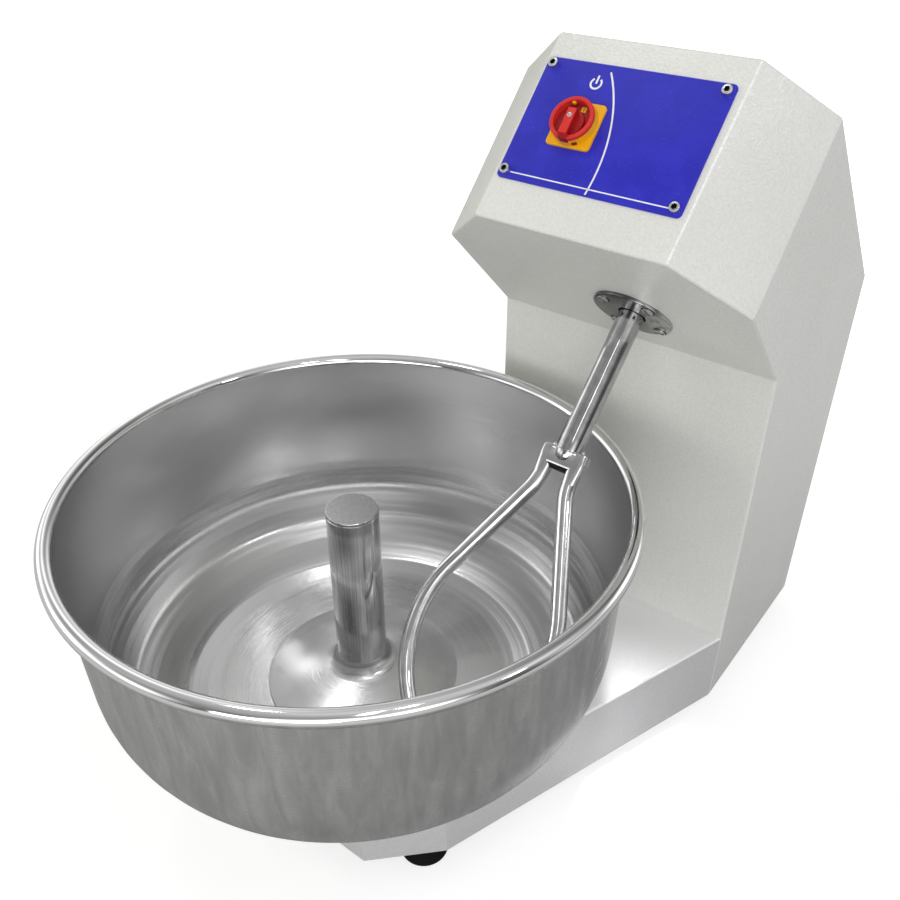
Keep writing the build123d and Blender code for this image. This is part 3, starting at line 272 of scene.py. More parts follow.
hall = hall + mirrored * MIRRORED_WALLS
tint = direction.part("X").between(-0.5, 0.8).blend(WARM_LEFT, COOL_RIGHT)
tint = mirrored.blend(tint, grey(1.0))
hall = direction.node("ShaderNodeVectorMath", {"operation": "SCALE"}, {0: tint, "Scale": hall})
room_colour = direction.ray("Camera").blend(hall, grey(1.0))
room_tree.links.new(room_colour.output, room_tree.nodes["Background"].inputs["Color"])

LAMPS = {  # place, what it points at, size, watts, and the spread of its beam in degrees
    "right_lamp": ((2.1, 0.2, 2.3), (0.0, 0.0, 0.4), (0.25, 0.25), 4, 180),
    "left_lamp": ((-0.95, -0.2, 3.0), (0.0, 0.0, 0.4), (0.25, 0.25), 3, 180),
    "fold_lamp": ((1.09, -0.66, 2.83), (0.0, 0.0, 0.4), (0.18, 0.18), 3, 180),
    "strip_lamp": ((0.99, -1.1, 2.54), (0.15, 0.05, 0.5), (0.18, 1.0), 2, 180),
    "low_panel": ((0.8, -2.4, 0.7), (0.0, 0.0, 0.4), (1.6, 0.8), 14, 180),
    "base_lamp": ((0.38, -0.16, 1.6), (0.27, -0.05, 0.17), (0.10, 0.10), 0.16, 12),
}
for lamp_name, (place, target, size, power, spread) in LAMPS.items():
    lamp_data = bpy.data.lights.new(lamp_name, "AREA")
    lamp_data.shape = "RECTANGLE"
    lamp_data.size, lamp_data.size_y = size
    lamp_data.energy = power
    lamp_data.spread = math.radians(spread)
    lamp = add_object(lamp_name, lamp_data)
    lamp.matrix_world = Matrix.Translation(place) @ (
        (Vector(target) - Vector(place)).to_track_quat("-Z", "Y").to_matrix().to_4x4()
    )
print("floor radius", FLOOR_RADIUS, "m,", len(LAMPS), "lamps")

# %% [markdown]
# ## Workbench
# Most pieces here are turned, bent or folded, so the same few moves come back: draw half a section as a
# wire and spin it, start from a box and round its edges, or push a round face along a bent line. The
# sections are written in millimetres, as on a drawing, and every mesh is put in its place at the end.

# %% Workbench
MM = 0.001
MERGE = 1e-6
COARSE_STEP = 6


def only(geom, kind):
    """The vertices, edges or faces of what a bmesh operator returns."""
    return [g for g in geom if isinstance(g, kind)]


def edges_above(bm, height):
    """The edges that lie above a height in millimetres."""
    return [e for e in bm.edges if all(v.co.z > height * MM for v in e.verts)]


def shift(x, y, z):
    """A move by millimetres."""
    return Matrix.Translation((x * MM, y * MM, z * MM))


def face_out(bm):
    """Turn all faces outwards."""
    bmesh.ops.recalc_face_normals(bm, faces=bm.faces)


def trace(bm, start, *moves):
    """Draw a wire in the XZ plane: two numbers run to a point, three or four turn about a centre.

    The third number is the angle of the turn, and the fourth is the angle of a step, in degrees.
    """
    last = bm.verts.new((start[0] * MM, 0, start[1] * MM))
    for move in moves:
        if len(move) == 2:
            spot = bm.verts.new((move[0] * MM, 0, move[1] * MM))
            bm.edges.new((last, spot))
            last = spot
        else:
            arc = bmesh.ops.spin(
                bm,
                geom=[last],
                cent=(move[0] * MM, 0, move[1] * MM),
                axis=(0, 1, 0),
                angle=math.radians(move[2]),
                steps=max(2, math.ceil(abs(move[2]) / (move[3] if len(move) > 3 else COARSE_STEP))),
            )
            last = only(arc["geom_last"], bmesh.types.BMVert)[0]


def lathe(bm, steps):
    """Spin what has been drawn once round the Z axis, and close the skin."""
    bmesh.ops.spin(
        bm,
        geom=bm.verts[:] + bm.edges[:],
        cent=(0, 0, 0),
        axis=(0, 0, 1),
        angle=2 * math.pi,
        steps=steps,
        use_merge=True,
    )
    bmesh.ops.remove_doubles(bm, verts=bm.verts, dist=MERGE)
    face_out(bm)


def turned(steps, *section):
    """A half section off the lathe, in so many steps; one that starts away from the axis is closed."""
    bm = bmesh.new()
    trace(bm, *section, *(section[:1] if section[0][0] else ()))
    lathe(bm, steps)
    return bm


def paint(bm, index):
    """Give all faces one of the piece's finishes."""
    for face in bm.faces:
        face.material_index = index


def round_edges(bm, edges, radius, segments=3):
    """Round these edges by a radius in millimetres."""
    bmesh.ops.bevel(
        bm,
        geom=list(edges),
        affect="EDGES",
        offset=radius * MM,
        offset_type="OFFSET",
        segments=segments,
        profile=0.5,
        material=-1,
        clamp_overlap=True,
    )


def block(bm, low, high):
    """A box between two corners in millimetres; returns its vertices."""
    middle = [(a + b) / 2 * MM for a, b in zip(low, high)]
    size = [(b - a) * MM for a, b in zip(low, high)]
    place = Matrix.Translation(middle) @ Matrix.Diagonal((*size, 1))
    return bmesh.ops.create_cube(bm, size=1, matrix=place)["verts"]


def edges_along(verts, axis):
    """The edges between these vertices that run along one axis."""
    found = set()
    for vert in verts:
        for edge in vert.link_edges:
            run = (edge.verts[1].co - edge.verts[0].co).normalized()
            if abs(run[axis]) > 0.99:
                found.add(edge)
    return found


def circle_through(a, b, c):
    """Centre of the circle through three points of a plane, and the turn from a to c about it."""
    a, b, c = complex(*a), complex(*b), complex(*c)
    w = (c - a) / (b - a)
    centre = (b - a) * (w - abs(w) ** 2) / (2j * w.imag) + a
    return (centre.real, centre.imag), math.degrees(cmath.phase((c - centre) / (a - centre)))


def join(bm, *others):
    """Move the faces of other meshes into this one."""
    for other in others:
        loose = to_mesh("loose", other)
        bm.from_mesh(loose)
        bpy.data.meshes.remove(loose)


def piece(name, bm, finishes, body, stands_for=(), place=None, crease=32):
    """Put a mesh in its place, shade it, and hang it on its body."""
    if place is not None:
        bmesh.ops.transform(bm, matrix=place, verts=bm.verts)
    for face in bm.faces:
        face.smooth = True
    for edge in bm.edges:
        edge.smooth = edge.calc_face_angle(0.0) < math.radians(crease)
    mesh = to_mesh(name, bm)
    for finish in finishes if isinstance(finishes, tuple) else (finishes,):
        mesh.materials.append(finish)
    made = add_object(name, mesh)
    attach(made, body)
    if stands_for:
        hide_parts(*stands_for)
    print(name, "has", len(mesh.polygons), "faces")
    return made


print("workbench ready")

# %% [markdown]
# ## Paint
# The housing is folded steel sheet under a cream powder coat. The powder melts into a fine orange peel,
# about two millimetres from lump to lump, which glitters where light grazes it. A bump can carry that
# grain, since its lumps are far smaller than any edge of the sheet. A thin bright line is painted along
# the fold at the panel's right, a painted highlight. The base has a coat of its own: its sides are
# painted a darker grey, a painted shade, and its top paler, a painted light.

# %% Powder coat
BASE_TOP = 0.1305
SLOPE, PANEL_LENGTH, PANEL_HALF = math.radians(47.3), 0.204, 0.102
CHIN = Vector((0.121, 0.015744, 0.671256))
UPHILL = Vector((0, math.cos(SLOPE), math.sin(SLOPE)))
FOLD_SHIFTS = {-1: (0.0025, 0.0), 1: (0.0035, 0.0075)}  # by side: outwards at the chin and at the top
PEEL_LUMPS, CLOUDS = 400, 5
fold_start = CHIN + Vector((PANEL_HALF + FOLD_SHIFTS[1][0], 0, 0))
fold_end = CHIN + Vector((PANEL_HALF + FOLD_SHIFTS[1][1], 0, 0)) + UPHILL * PANEL_LENGTH
fold_run = (fold_end - fold_start).normalized()


def powder(name, shaded_sides_lit_top):
    """Cream powder coat, a painted highlight on the fold; base: painted shade on the sides, painted light
    on top.
    """
    finish, place = new_finish(name, IOR=1.5)
    peel = place.noise(PEEL_LUMPS, 1.5)
    cloud = place.noise(CLOUDS, 3.0).between(0.3, 0.7)
    shade = cloud * 0.45 + peel.between(0.3, 0.7) * 0.55
    colour = shade.blend((0.705, 0.705, 0.67, 1), (0.80, 0.80, 0.77, 1))
    if shaded_sides_lit_top:
        # Painted shade and painted light: the base's sides are a darker grey and its top is paler.
        on_top = place.part("Z").between(BASE_TOP - 3 * MM, BASE_TOP - 1 * MM)
        colour = on_top.blend(shade.blend(grey(0.51), grey(0.59)), shade.blend(grey(0.86), grey(0.92)))
    # A painted highlight: a thin bright line along the fold at the panel's right.
    from_fold = place.arrows("CROSS_PRODUCT", place.arrows("SUBTRACT", place, fold_start), fold_run)
    beside = place.arrows("LENGTH", from_fold, output="Value")
    painted_fold_highlight = (1.0 - beside.between(0.4 * MM, 1.8 * MM)) * (0.35 + peel.between(0.3, 0.6) * 0.5)
    return feed(
        finish,
        Base_Color=painted_fold_highlight.blend(colour, grey(0.98)),
        Roughness=0.08 + peel * 0.06,
        relief=(peel + place.noise(1100, 1.0) * 0.2, 0.0005),
    )


powder_coat = powder("powder_coat", False)
# The base's coat carries painted shade on its sides and painted light on its top.
base_coat = powder("base_coat", True)
print("paint ready")

# %% [markdown]
# ## Printed plate and plastics
# The control plate is lacquered sheet, the switch is moulded. Handling leaves a faint film, so their
# gloss changes slowly over the surface, and a few specks of flour settle on the blue.

# %% Plate blue, switch yellow and red, black plastic, print white
plate_blue, place = new_finish("plate_blue", IOR=1.42)
film = place.noise(28, 4.0, 0.6)
specks = place.noise(900, 1.0).between(0.74, 0.8)
deep = film.between(0.3, 0.75).blend((0.016, 0.016, 0.44, 1), (0.024, 0.024, 0.53, 1))
feed(
    plate_blue,
    Base_Color=(specks * 0.3).blend(deep, grey(0.7)),
    Roughness=0.38 + film * 0.2,
    relief=(place.noise(160, 2.0), 0.00005),
)


def moulded(name, low, high, gloss):
    """Moulded plastic: a colour that drifts a little, and a fine grain from the tool."""
    finish, place = new_finish(name, IOR=1.36)
    drift = place.noise(60, 3.0)
    grain = place.noise(2400, 2.0)
    return feed(
        finish,
        Base_Color=drift.between(0.3, 0.7).blend(low, high),
        Roughness=gloss + drift * 0.12,
        relief=(grain, 0.00006),
    )


switch_yellow = moulded("switch_yellow", (0.86, 0.40, 0.004, 1), (0.93, 0.46, 0.008, 1), 0.3)
switch_red = moulded("switch_red", (0.62, 0.022, 0.018, 1), (0.72, 0.034, 0.026, 1), 0.3)
# A darker copy of the red, a painted shade for the switch's hollows and the sides of its bar.
switch_red_shaded = moulded("switch_red_shaded", (0.28, 0.004, 0.006, 1), (0.36, 0.006, 0.008, 1), 0.28)
black_plastic = moulded("black_plastic", (0.012, 0.012, 0.013, 1), (0.022, 0.022, 0.023, 1), 0.42)
print_white = moulded("print_white", (0.82, 0.82, 0.84, 1), (0.9, 0.9, 0.92, 1), 0.4)

# %% [markdown]
# ## Spun and polished steel
# The bowl was pressed over a turning former and then polished on the lathe, so every mark runs round its
# axis. Radius plus height grows steadily along the section, and works as one ruler for the rings; the
# cosine and sine of the angle let a ring fade along its length with no seam.

# %% Steel
BOWL_Y = -0.1665


def ring_ruler(place):
    """Position along the bowl's section, and the direction out from its axis."""
    centred = place.stretch((1, 1, 1), (0, -BOWL_Y, 0))
    x, y, z = centred.part("X"), centred.part("Y"), centred.part("Z")
    radius = (x * x + y * y) ** 0.5
    return radius, z, x / (radius + 1e-5), y / (radius + 1e-5)


def spun_steel(name, low, high, gloss, spread, ring_depth, anisotropic):
    """Steel polished on the lathe: fine rings, and broad bands where the tool dwelt."""
    finish, place = new_finish(name, Metallic=1.0, Anisotropic=anisotropic)
    radius, z, out_x, out_y = ring_ruler(place)
    along = radius + z
    fine = place.vector(along * 2600, out_x * 2.5, out_y * 2.5).noise(1.0, 2.0)
    bands = place.vector(along * 45, out_x * 0.5, out_y * 0.5).noise(1.0, 2.0)
    wipe = place.noise(9, 4.0, 0.6)
    return feed(
        finish,
        Base_Color=(bands * 0.5 + wipe * 0.5).between(0.3, 0.7).blend(low, high),
        Roughness=gloss + (fine - 0.5) * spread + (bands - 0.5) * spread + (wipe - 0.5) * spread,
        relief=(fine, ring_depth),
    )


CORNER_R, CORNER_Z, CORNER_INNER = 159.715, 293.0, 115.5
RING_GROOVES_AND_HIGHLIGHTS = ((16.5, 0.8, 4.5), (48.5, 0.6, 5.0), (69.5, 0.4, 4.5))  # angle, depth and width of each

# Inside, the finish paints the three rings paler, a painted highlight, the corner between them darker, a
# painted shade, and the upper wall paler, a painted light; the bands and wipes are the polish's own.
bowl_inside, place = new_finish("bowl_inside", Metallic=1.0, Anisotropic=0.5)
radius, z, out_x, out_y = ring_ruler(place)
bend = place.sum("ARCTAN2", radius - CORNER_R * MM, CORNER_Z * MM - z) * math.degrees(1.0)
fine = place.vector((radius + z) * 2600, out_x * 2.5, out_y * 2.5).noise(1.0, 2.0)
bands = place.vector(bend * 0.35, out_x * 0.6, out_y * 0.6).noise(1.0, 2.0)
wipe = place.noise(9, 4.0, 0.6)
fan = place.vector(out_x * 3.2, out_y * 3.2, radius * 3).noise(1.0, 3.0).between(0.3, 0.7)
rings = 0.0
for middle, _, width in RING_GROOVES_AND_HIGHLIGHTS:
    offset = (bend - middle) * (math.radians(CORNER_INNER) / (0.8 * width))
    rings = rings + place.sum("EXPONENT", offset * offset * -1.0)
dull_and_shaded = bend.between(13, 24) * (1.0 - bend.between(62, 78))
flat = 1.0 - bend.between(0, 8)
wall = bend.between(74, 90)
wear_and_painted_light = dull_and_shaded * 0.9 + flat * fan * 0.6 - rings * 0.8 + (bands - 0.5) * 0.5 + (wipe - 0.5) * 0.4
feed(
    bowl_inside,
    Base_Color=wear_and_painted_light.between(0.0, 1.0).blend(wall.blend(grey(0.67), grey(0.78)), grey(0.47)),
    Roughness=0.16
    + dull_and_shaded * 0.15
    + flat * 0.1
    + wall * 0.08
    - rings * 0.04
    + (fine - 0.5) * 0.1
    + (wipe - 0.5) * 0.08,
    relief=(fine, 0.000012),
)

bowl_rim = spun_steel("bowl_rim", grey(0.66), grey(0.80), 0.07, 0.05, 0.000006, 0.0)
bowl_cone = spun_steel("bowl_cone", grey(0.60), grey(0.74), 0.25, 0.08, 0.000005, 0.5)

bowl_outside, place = new_finish("bowl_outside", Metallic=1.0, Anisotropic=0.4)
radius, z, out_x, out_y = ring_ruler(place)
drips = place.vector(out_x * 17, out_y * 17, z * 13).noise(1.0, 5.0, 0.6, 0.4)
fine = place.vector((radius + z) * 2200, out_x * 2.5, out_y * 2.5).noise(1.0, 2.0)
feed(
    bowl_outside,
    Base_Color=drips.between(0.25, 0.75).blend(grey(0.44), grey(0.62)),
    Roughness=0.26 + (drips - 0.5) * 0.07 + (fine - 0.5) * 0.08,
    relief=(fine, 0.000014),
)

post_steel, place = new_finish("post_steel", Metallic=1.0)
radius, z, out_x, out_y = ring_ruler(place)
strokes = place.vector(out_x * 55, out_y * 55, z * 8 + radius * 400).noise(1.0, 3.0)
scuffs = place.noise(170, 3.0, 0.6)
ground = (z + (strokes - 0.5) * 0.002).between(0.3925, 0.3935)
feed(
    post_steel,
    Base_Color=(strokes.between(0.3, 0.7) * (1.0 - ground * 0.45)).blend(grey(0.42), grey(0.76)),
    Roughness=0.11 + (strokes - 0.5) * 0.12 + (scuffs - 0.5) * 0.1,
    relief=(strokes + scuffs * 0.4, 0.000025),
)


def drawn_steel(name, low, high):
    """Bar steel, polished by hand: faint waves, and hairs along the fork's axis."""
    finish, place = new_finish(name, Metallic=1.0)
    wobble = place.noise(70, 2.0)
    upright = (math.radians(-135), 0, 0)
    hairs = place.node("ShaderNodeMapping", {}, {"Vector": place, "Rotation": upright})
    hairs = hairs.stretch((2200, 2200, 25)).noise(1.0, 2.0)
    return feed(
        finish,
        Base_Color=wobble.between(0.3, 0.7).blend(low, high),
        Roughness=0.1 + (wobble - 0.5) * 0.06 + (hairs - 0.5) * 0.06,
        relief=(wobble + hairs * 0.05, 0.00012),
    )


fork_steel = drawn_steel("fork_steel", grey(0.63), grey(0.74))
# The shaft's copy of the steel is darker than the tines', a painted shade for the shaft under the head.
shaft_steel = drawn_steel("shaft_steel", grey(0.39), grey(0.49))

flange_steel, place = new_finish("flange_steel", Metallic=1.0)
mottle = place.noise(45, 3.0, 0.6, 1.0)
# The flange's right side is painted paler and mottled, a painted reflection of the bright housing; its
# left is painted dark.
painted_reflection_side = place.part("X").between(0.155, 0.185)
feed(
    flange_steel,
    Base_Color=(painted_reflection_side * mottle.between(0.3, 0.6)).blend(grey(0.13), grey(0.5)),
    Roughness=0.08 + painted_reflection_side * 0.1 + (mottle - 0.5) * 0.1,
    relief=(place.noise(60, 2.0), 0.0003),
)


def worked_metal(name, low, high, gloss, lumps, depth, metallic=1.0, index=1.5):
    """Plated, cast or machined metal: lumps of one size in its tone, gloss and relief."""
    finish, place = new_finish(name, Metallic=metallic, IOR=index)
    grain = place.noise(lumps, 4.0, 0.6)
    stain = place.noise(22, 3.0)
    return feed(
        finish,
        Base_Color=(grain * 0.4 + stain * 0.6).between(0.3, 0.7).blend(low, high),
        Roughness=gloss + (grain - 0.5) * 0.2 + (stain - 0.5) * 0.15,
        relief=(grain, depth),
    )


# A near-black steel that stands only for painted shade: the screws' slots and wells, the rings round the
# flange screws and the web's underside.
painted_shade_steel = worked_metal("painted_shade_steel", grey(0.02), grey(0.05), 0.5, 900, 0.00004)
zinc = worked_metal("zinc", grey(0.55), grey(0.68), 0.3, 900, 0.00004)
machined_steel = worked_metal("machined_steel", grey(0.42), grey(0.55), 0.3, 1500, 0.00003)
cast_iron = worked_metal("cast_iron", (0.05, 0.052, 0.055, 1), (0.1, 0.1, 0.105, 1), 0.6, 420, 0.0006, 0.4)
gear_bronze = worked_metal("gear_bronze", (0.52, 0.30, 0.11, 1), (0.63, 0.38, 0.15, 1), 0.3, 700, 0.00005)
motor_enamel = worked_metal(
    "motor_enamel", (0.07, 0.10, 0.13, 1), (0.10, 0.14, 0.17, 1), 0.4, 500, 0.0002, 0.0
)
rubber = worked_metal("rubber", grey(0.003), grey(0.008), 0.7, 700, 0.0002, 0.0, 1.2)
print("finishes", len(bpy.data.materials))

# %% [markdown]
# ## Bowl
# One disc of steel is spun into a deep bowl with a soft corner, and its edge is rolled outwards over a
# wire into a bead. The solid could stay, but a polished surface shows every facet, so the section is
# drawn again and spun in fine steps. The former's tool leaves a ripple and three grooves, all less than a
# millimetre deep: they bend the reflections into the rings that can be seen inside, and the inside's
# finish also paints those rings paler, a painted highlight.

# %% Bowl
BOWL = Matrix.Translation((0, BOWL_Y, 0))
WALL_TURN, FINE_STEP = 88.0, 0.8
RIM_R, RIM_Z, BEAD, BEAD_TURN = 288.0, 428.0, 8.0, 312
FLOOR_Z, BOTTOM_Z = 177.5, 175.0
LONG_RUN, RUN_CUTS = 50, 24


def spin_mark(angle):
    """How far the skin lies outwards at an angle of the corner: three grooves over a fine ripple."""
    mark = 0.07 * math.sin(angle * 1.1) + 0.03 * math.sin(angle * 2.7)
    for middle, depth, width in RING_GROOVES_AND_HIGHLIGHTS:
        offset = math.radians(angle - middle) * CORNER_INNER / width
        mark += depth * math.exp(-offset * offset)
    return mark


bowl = bmesh.new()
trace(
    bowl,
    (0, FLOOR_Z),
    (CORNER_R, FLOOR_Z),
    (CORNER_R, CORNER_Z, -WALL_TURN, FINE_STEP),
    (RIM_R - BEAD, RIM_Z),
    (RIM_R, RIM_Z, BEAD_TURN),
    (282.15, 420.6),
    (277.643, 288.882),
    (CORNER_R, CORNER_Z, WALL_TURN),
    (0, BOTTOM_Z),
)
for vert in bowl.verts:
    spoke = Vector((vert.co.x - CORNER_R * MM, 0, vert.co.z - CORNER_Z * MM))
    if abs(spoke.length - CORNER_INNER * MM) < 0.01 * MM:
        angle = math.degrees(math.atan2(spoke.x, -spoke.z))
        vert.co += spoke.normalized() * spin_mark(angle) * MM
runs = [edge for edge in bowl.edges if edge.calc_length() > LONG_RUN * MM]
bmesh.ops.subdivide_edges(bowl, edges=runs, cuts=RUN_CUTS)
lathe(bowl, 192)
mouth = Vector((0, 0, RIM_Z * MM))
for face in bowl.faces:
    middle = face.calc_center_median()
    out = math.hypot(middle.x, middle.y)
    on_bead = math.hypot(out - RIM_R * MM, middle.z - RIM_Z * MM) < (BEAD + 0.3) * MM
    # The bead's faces that look down take the darker outside steel, a painted shade under the bead.
    if on_bead and face.normal.z > 0.05:
        face.material_index = 1
    elif on_bead or face.normal.dot(mouth - middle) < 0:
        face.material_index = 2
piece(
    "bowl_spun", bowl, (bowl_inside, bowl_rim, bowl_outside), "bowl", ("bowl_shell",), BOWL
)

# %% [markdown]
# ## Cone, flare and post
# The middle of the bowl rises in a low cone, and a tube stands on it that breaks the dough. Where they
# meet, weld metal has been ground to a smooth flare. Each of these is a short section, spun.

# %% Cone, flare and post
CONE_R, CONE_EDGE_Z, FLARE_R, FLARE_Z = 108.0, 180.0, 41.0, 197.0
POST_R, POST_HOLE, POST_TOP, LID_Z = 27.5, 24.5, 409.5, 405.5
NECK_R, CONE_THICK = POST_R + 0.25, 2.5
CONE_SLOPE = (FLARE_Z - CONE_EDGE_Z) / (CONE_R - FLARE_R)


def cone_top(radius):
    return CONE_EDGE_Z + (CONE_R - radius) * CONE_SLOPE


cone = turned(
    160,
    (POST_R, cone_top(POST_R) - CONE_THICK),
    (CONE_R, FLOOR_Z),
    (CONE_R, CONE_EDGE_Z - 1.0),
    (CONE_R - 1.0, CONE_EDGE_Z - 1.0, -76),
    (FLARE_R, FLARE_Z),
    (POST_R, cone_top(POST_R)),
)
piece("bowl_cone_skin", cone, bowl_cone, "bowl", ("bowl_cone",), BOWL)

fall = math.atan(CONE_SLOPE)
blend_reach = (FLARE_R - NECK_R) / math.cos(fall)
blend_radius = blend_reach * math.tan((math.pi / 2 + fall) / 2)
neck_z = cone_top(NECK_R) + blend_reach
flare = turned(
    128,
    (FLARE_R, FLARE_Z + 0.02),
    (NECK_R + blend_radius, neck_z, 90 - math.degrees(fall), 4),
    (NECK_R, neck_z + 0.8),
    (POST_R - 0.1, neck_z + 1.4),
    (POST_R - 0.1, FLARE_Z),
)
piece("post_flare", flare, bowl_cone, "bowl", ("bowl_post_collar",), BOWL)

post = turned(
    96,
    (POST_HOLE, FLOOR_Z),
    (POST_R, FLOOR_Z),
    (POST_R, LID_Z - 0.5),
    (POST_R - 0.4, LID_Z),
    (POST_HOLE, LID_Z),
)
piece("post_tube", post, post_steel, "bowl", ("bowl_post",), BOWL)

lid = turned(
    96,
    (0, LID_Z),
    (POST_R - 0.4, LID_Z),
    (POST_R, LID_Z + 0.5),
    (POST_R, POST_TOP - 1.2),
    (POST_R - 1.2, POST_TOP - 1.2, -90),
    (0, POST_TOP),
)
piece("post_lid", lid, post_steel, "bowl", ("bowl_post_cap",), BOWL)

# %% [markdown]
# ## Fork
# A polished shaft comes out of the head at forty-five degrees. A crosshead is welded to its end, and two
# round bars are bent and welded below it. A bent bar is what the spin operator makes best: a round face
# runs straight, then spins about the middle of each bend.

# %% Fork
FORK = Matrix.Translation((0.150, 0.119689, 0.567311)) @ Matrix.Rotation(math.radians(135), 4, "X")
SHAFT_R, JOURNAL_R = 14.0, 12.5
SHAFT_TOP, SHOULDER, SHAFT_END = -162, -47.8, 166

shaft = turned(
    64,
    (0, SHAFT_TOP),
    (JOURNAL_R - 1, SHAFT_TOP),
    (JOURNAL_R, SHAFT_TOP + 1),
    (JOURNAL_R, SHOULDER),
    (SHAFT_R, SHOULDER),
    (SHAFT_R, SHAFT_END),
    (0, SHAFT_END),
)
piece("fork_shaft_bar", shaft, shaft_steel, "fork", ("fork_shaft",), FORK)


BEND_STEP = 3


def bent_bar(bm, radius, route):
    """Push a round face along a route of (x, z, bend radius) points, in millimetres."""
    spots = [Vector((x, 0, z)) for x, z, _ in route]
    made = bmesh.ops.create_circle(bm, cap_ends=True, segments=40, radius=radius * MM)
    bmesh.ops.translate(bm, verts=made["verts"], vec=spots[0] * MM)
    end = made["verts"][0].link_faces[0]
    at = spots[0]
    for corner, after, (_, _, bend) in zip(spots[1:], spots[2:] + [None], route[1:]):
        heading = (corner - at).normalized()
        if after is None:
            cut, turn = 0.0, 0.0
        else:
            onward = (after - corner).normalized()
            turn = heading.angle(onward)
            cut = bend * math.tan(turn / 2)
        pushed = bmesh.ops.extrude_face_region(bm, geom=[end])["geom"]
        end = only(pushed, bmesh.types.BMFace)[0]
        bmesh.ops.translate(bm, verts=end.verts, vec=(corner - heading * cut - at) * MM)
        if after is not None:
            axis = heading.cross(onward).normalized()
            middle = corner - heading * cut + axis.cross(heading) * bend
            steps = math.ceil(math.degrees(turn) / BEND_STEP)
            bent = bmesh.ops.spin(bm, geom=[end], cent=middle * MM, axis=axis, angle=turn, steps=steps)
            end = only(bent["geom_last"], bmesh.types.BMFace)[0]
            at = corner + onward * cut
    round_edges(bm, end.edges, radius * 0.8, 8)
    face_out(bm)


WAIST, WAIST_END, WAIST_BEND = 17.5, 205.0, 65.0
BELLY, BELLY_AT, BELLY_BEND = 100.5, 400.0, 135.0
TIP, TIP_AT = 20.5, 493.0
TINE_R = 8.5
LEG_TOP, LEG_DEPTH, LEG_SQUARE = 162.5, 9.0, 5
LEG_RISES = (0.0, 0.6, 1.4, 2.4, 4.0, 6.0)
LEG_CORNERS = ((-1, 6.0), (1, 2.5))  # by side: how far the outer top corner is worn
LEG_EDGE, FADE_START, FADE_LENGTH, FADE_STEPS = 1.8, 12, 23, 8
RING_STEPS = 48

for tine_name, side in (("tine_left", -1), ("tine_right", 1)):
    tine = bmesh.new()
    bent_bar(
        tine,
        TINE_R,
        [
            (side * WAIST, LEG_TOP + 24, 0),
            (side * WAIST, WAIST_END, WAIST_BEND),
            (side * BELLY, BELLY_AT, BELLY_BEND),
            (side * TIP, TIP_AT, 0),
        ],
    )
    piece(tine_name, tine, fork_steel, "fork", (f"fork_{tine_name}",), FORK)


def soft_ring(bm, middle, half_x, half_y, z, power):
    """A ring of vertices between a square and a circle: the power is 2 for a circle, more for a square."""
    ring = []
    for step in range(RING_STEPS):
        turn = 2 * math.pi * step / RING_STEPS
        c, s = math.cos(turn), math.sin(turn)
        reach = (abs(c) ** power + abs(s) ** power) ** (-1 / power)
        ring.append(bm.verts.new(((middle + half_x * reach * c) * MM, half_y * reach * s * MM, z * MM)))
    return ring


def skin(bm, rings):
    """Join rings of vertices into one closed skin."""
    for low, high in zip(rings, rings[1:]):
        for i in range(len(low)):
            j = (i + 1) % len(low)
            bm.faces.new((low[i], low[j], high[j], high[i]))
    bm.faces.new(rings[0])
    bm.faces.new(rings[-1])


crosshead = bmesh.new()
for side, worn_corner in LEG_CORNERS:
    leg = bmesh.new()
    rings = []
    for rise in LEG_RISES:
        left = max(0.0, 1 - rise / worn_corner)
        corner = worn_corner * (1 - math.sqrt(1 - left * left))
        edge = LEG_EDGE * max(0.0, 1 - rise / LEG_EDGE) ** 2
        middle, half = side * (WAIST - corner / 2), TINE_R - corner / 2 - edge
        rings.append(soft_ring(leg, middle, half, LEG_DEPTH - edge, LEG_TOP + rise, LEG_SQUARE))
    for step in range(FADE_STEPS + 1):
        share = step / FADE_STEPS
        depth = LEG_DEPTH + (TINE_R - LEG_DEPTH) * share
        power = LEG_SQUARE - (LEG_SQUARE - 2) * share ** 0.5
        z = LEG_TOP + FADE_START + share * FADE_LENGTH
        rings.append(soft_ring(leg, side * WAIST, TINE_R + 0.05, depth + 0.05, z, power))
    skin(leg, rings)
    face_out(leg)
    join(crosshead, leg)
WEB_HALF, WEB_DEPTH, WEB_TOP, WEB_END = 14, 9.2, 164, 187
WEB_MIDDLE = (WEB_TOP + WEB_END) / 2
web = bmesh.new()
block(web, (-WEB_HALF, -WEB_DEPTH, WEB_TOP), (WEB_HALF, WEB_DEPTH, WEB_END))
low_edges = [e for e in edges_along(web.verts, 0) if e.verts[0].co.z > WEB_MIDDLE * MM]
round_edges(web, low_edges, 7.0, 8)
high_edges = [e for e in edges_along(web.verts, 0) if e.verts[0].co.z < (WEB_TOP + 1) * MM]
round_edges(web, high_edges, 3.0, 4)
saddle = turned(
    64,
    (0, 150),
    (SHAFT_R + 0.1, 150),
    (SHAFT_R + 0.1, 164),
    (13.2, 170),
    (10.8, 175),
    (7.5, 178.4),
    (0, 180.5),
)
paint(saddle, 1)
# The web's faces that look down the fork take the dark steel, a painted shade.
for face in web.faces:
    face.material_index = 2 if face.normal.z > 0.3 else 0
WELD_BEADS = ((13.2, -6, 160, 3.0), (12.6, -8.4, 163, 2.2), (-12.6, -6, 166, 2.6), (-12, 7, 163, 3.0))
weld = bmesh.new()
for x, y, z, size in WELD_BEADS:
    squash = shift(x, y, z) @ Matrix.Diagonal((1.2, 0.9, 0.9, 1))
    bmesh.ops.create_icosphere(weld, subdivisions=3, radius=size * MM, matrix=squash)
join(crosshead, web, saddle, weld)
finishes = (fork_steel, shaft_steel, painted_shade_steel)
piece("crosshead_block", crosshead, finishes, "fork", ("fork_crosshead",), FORK)

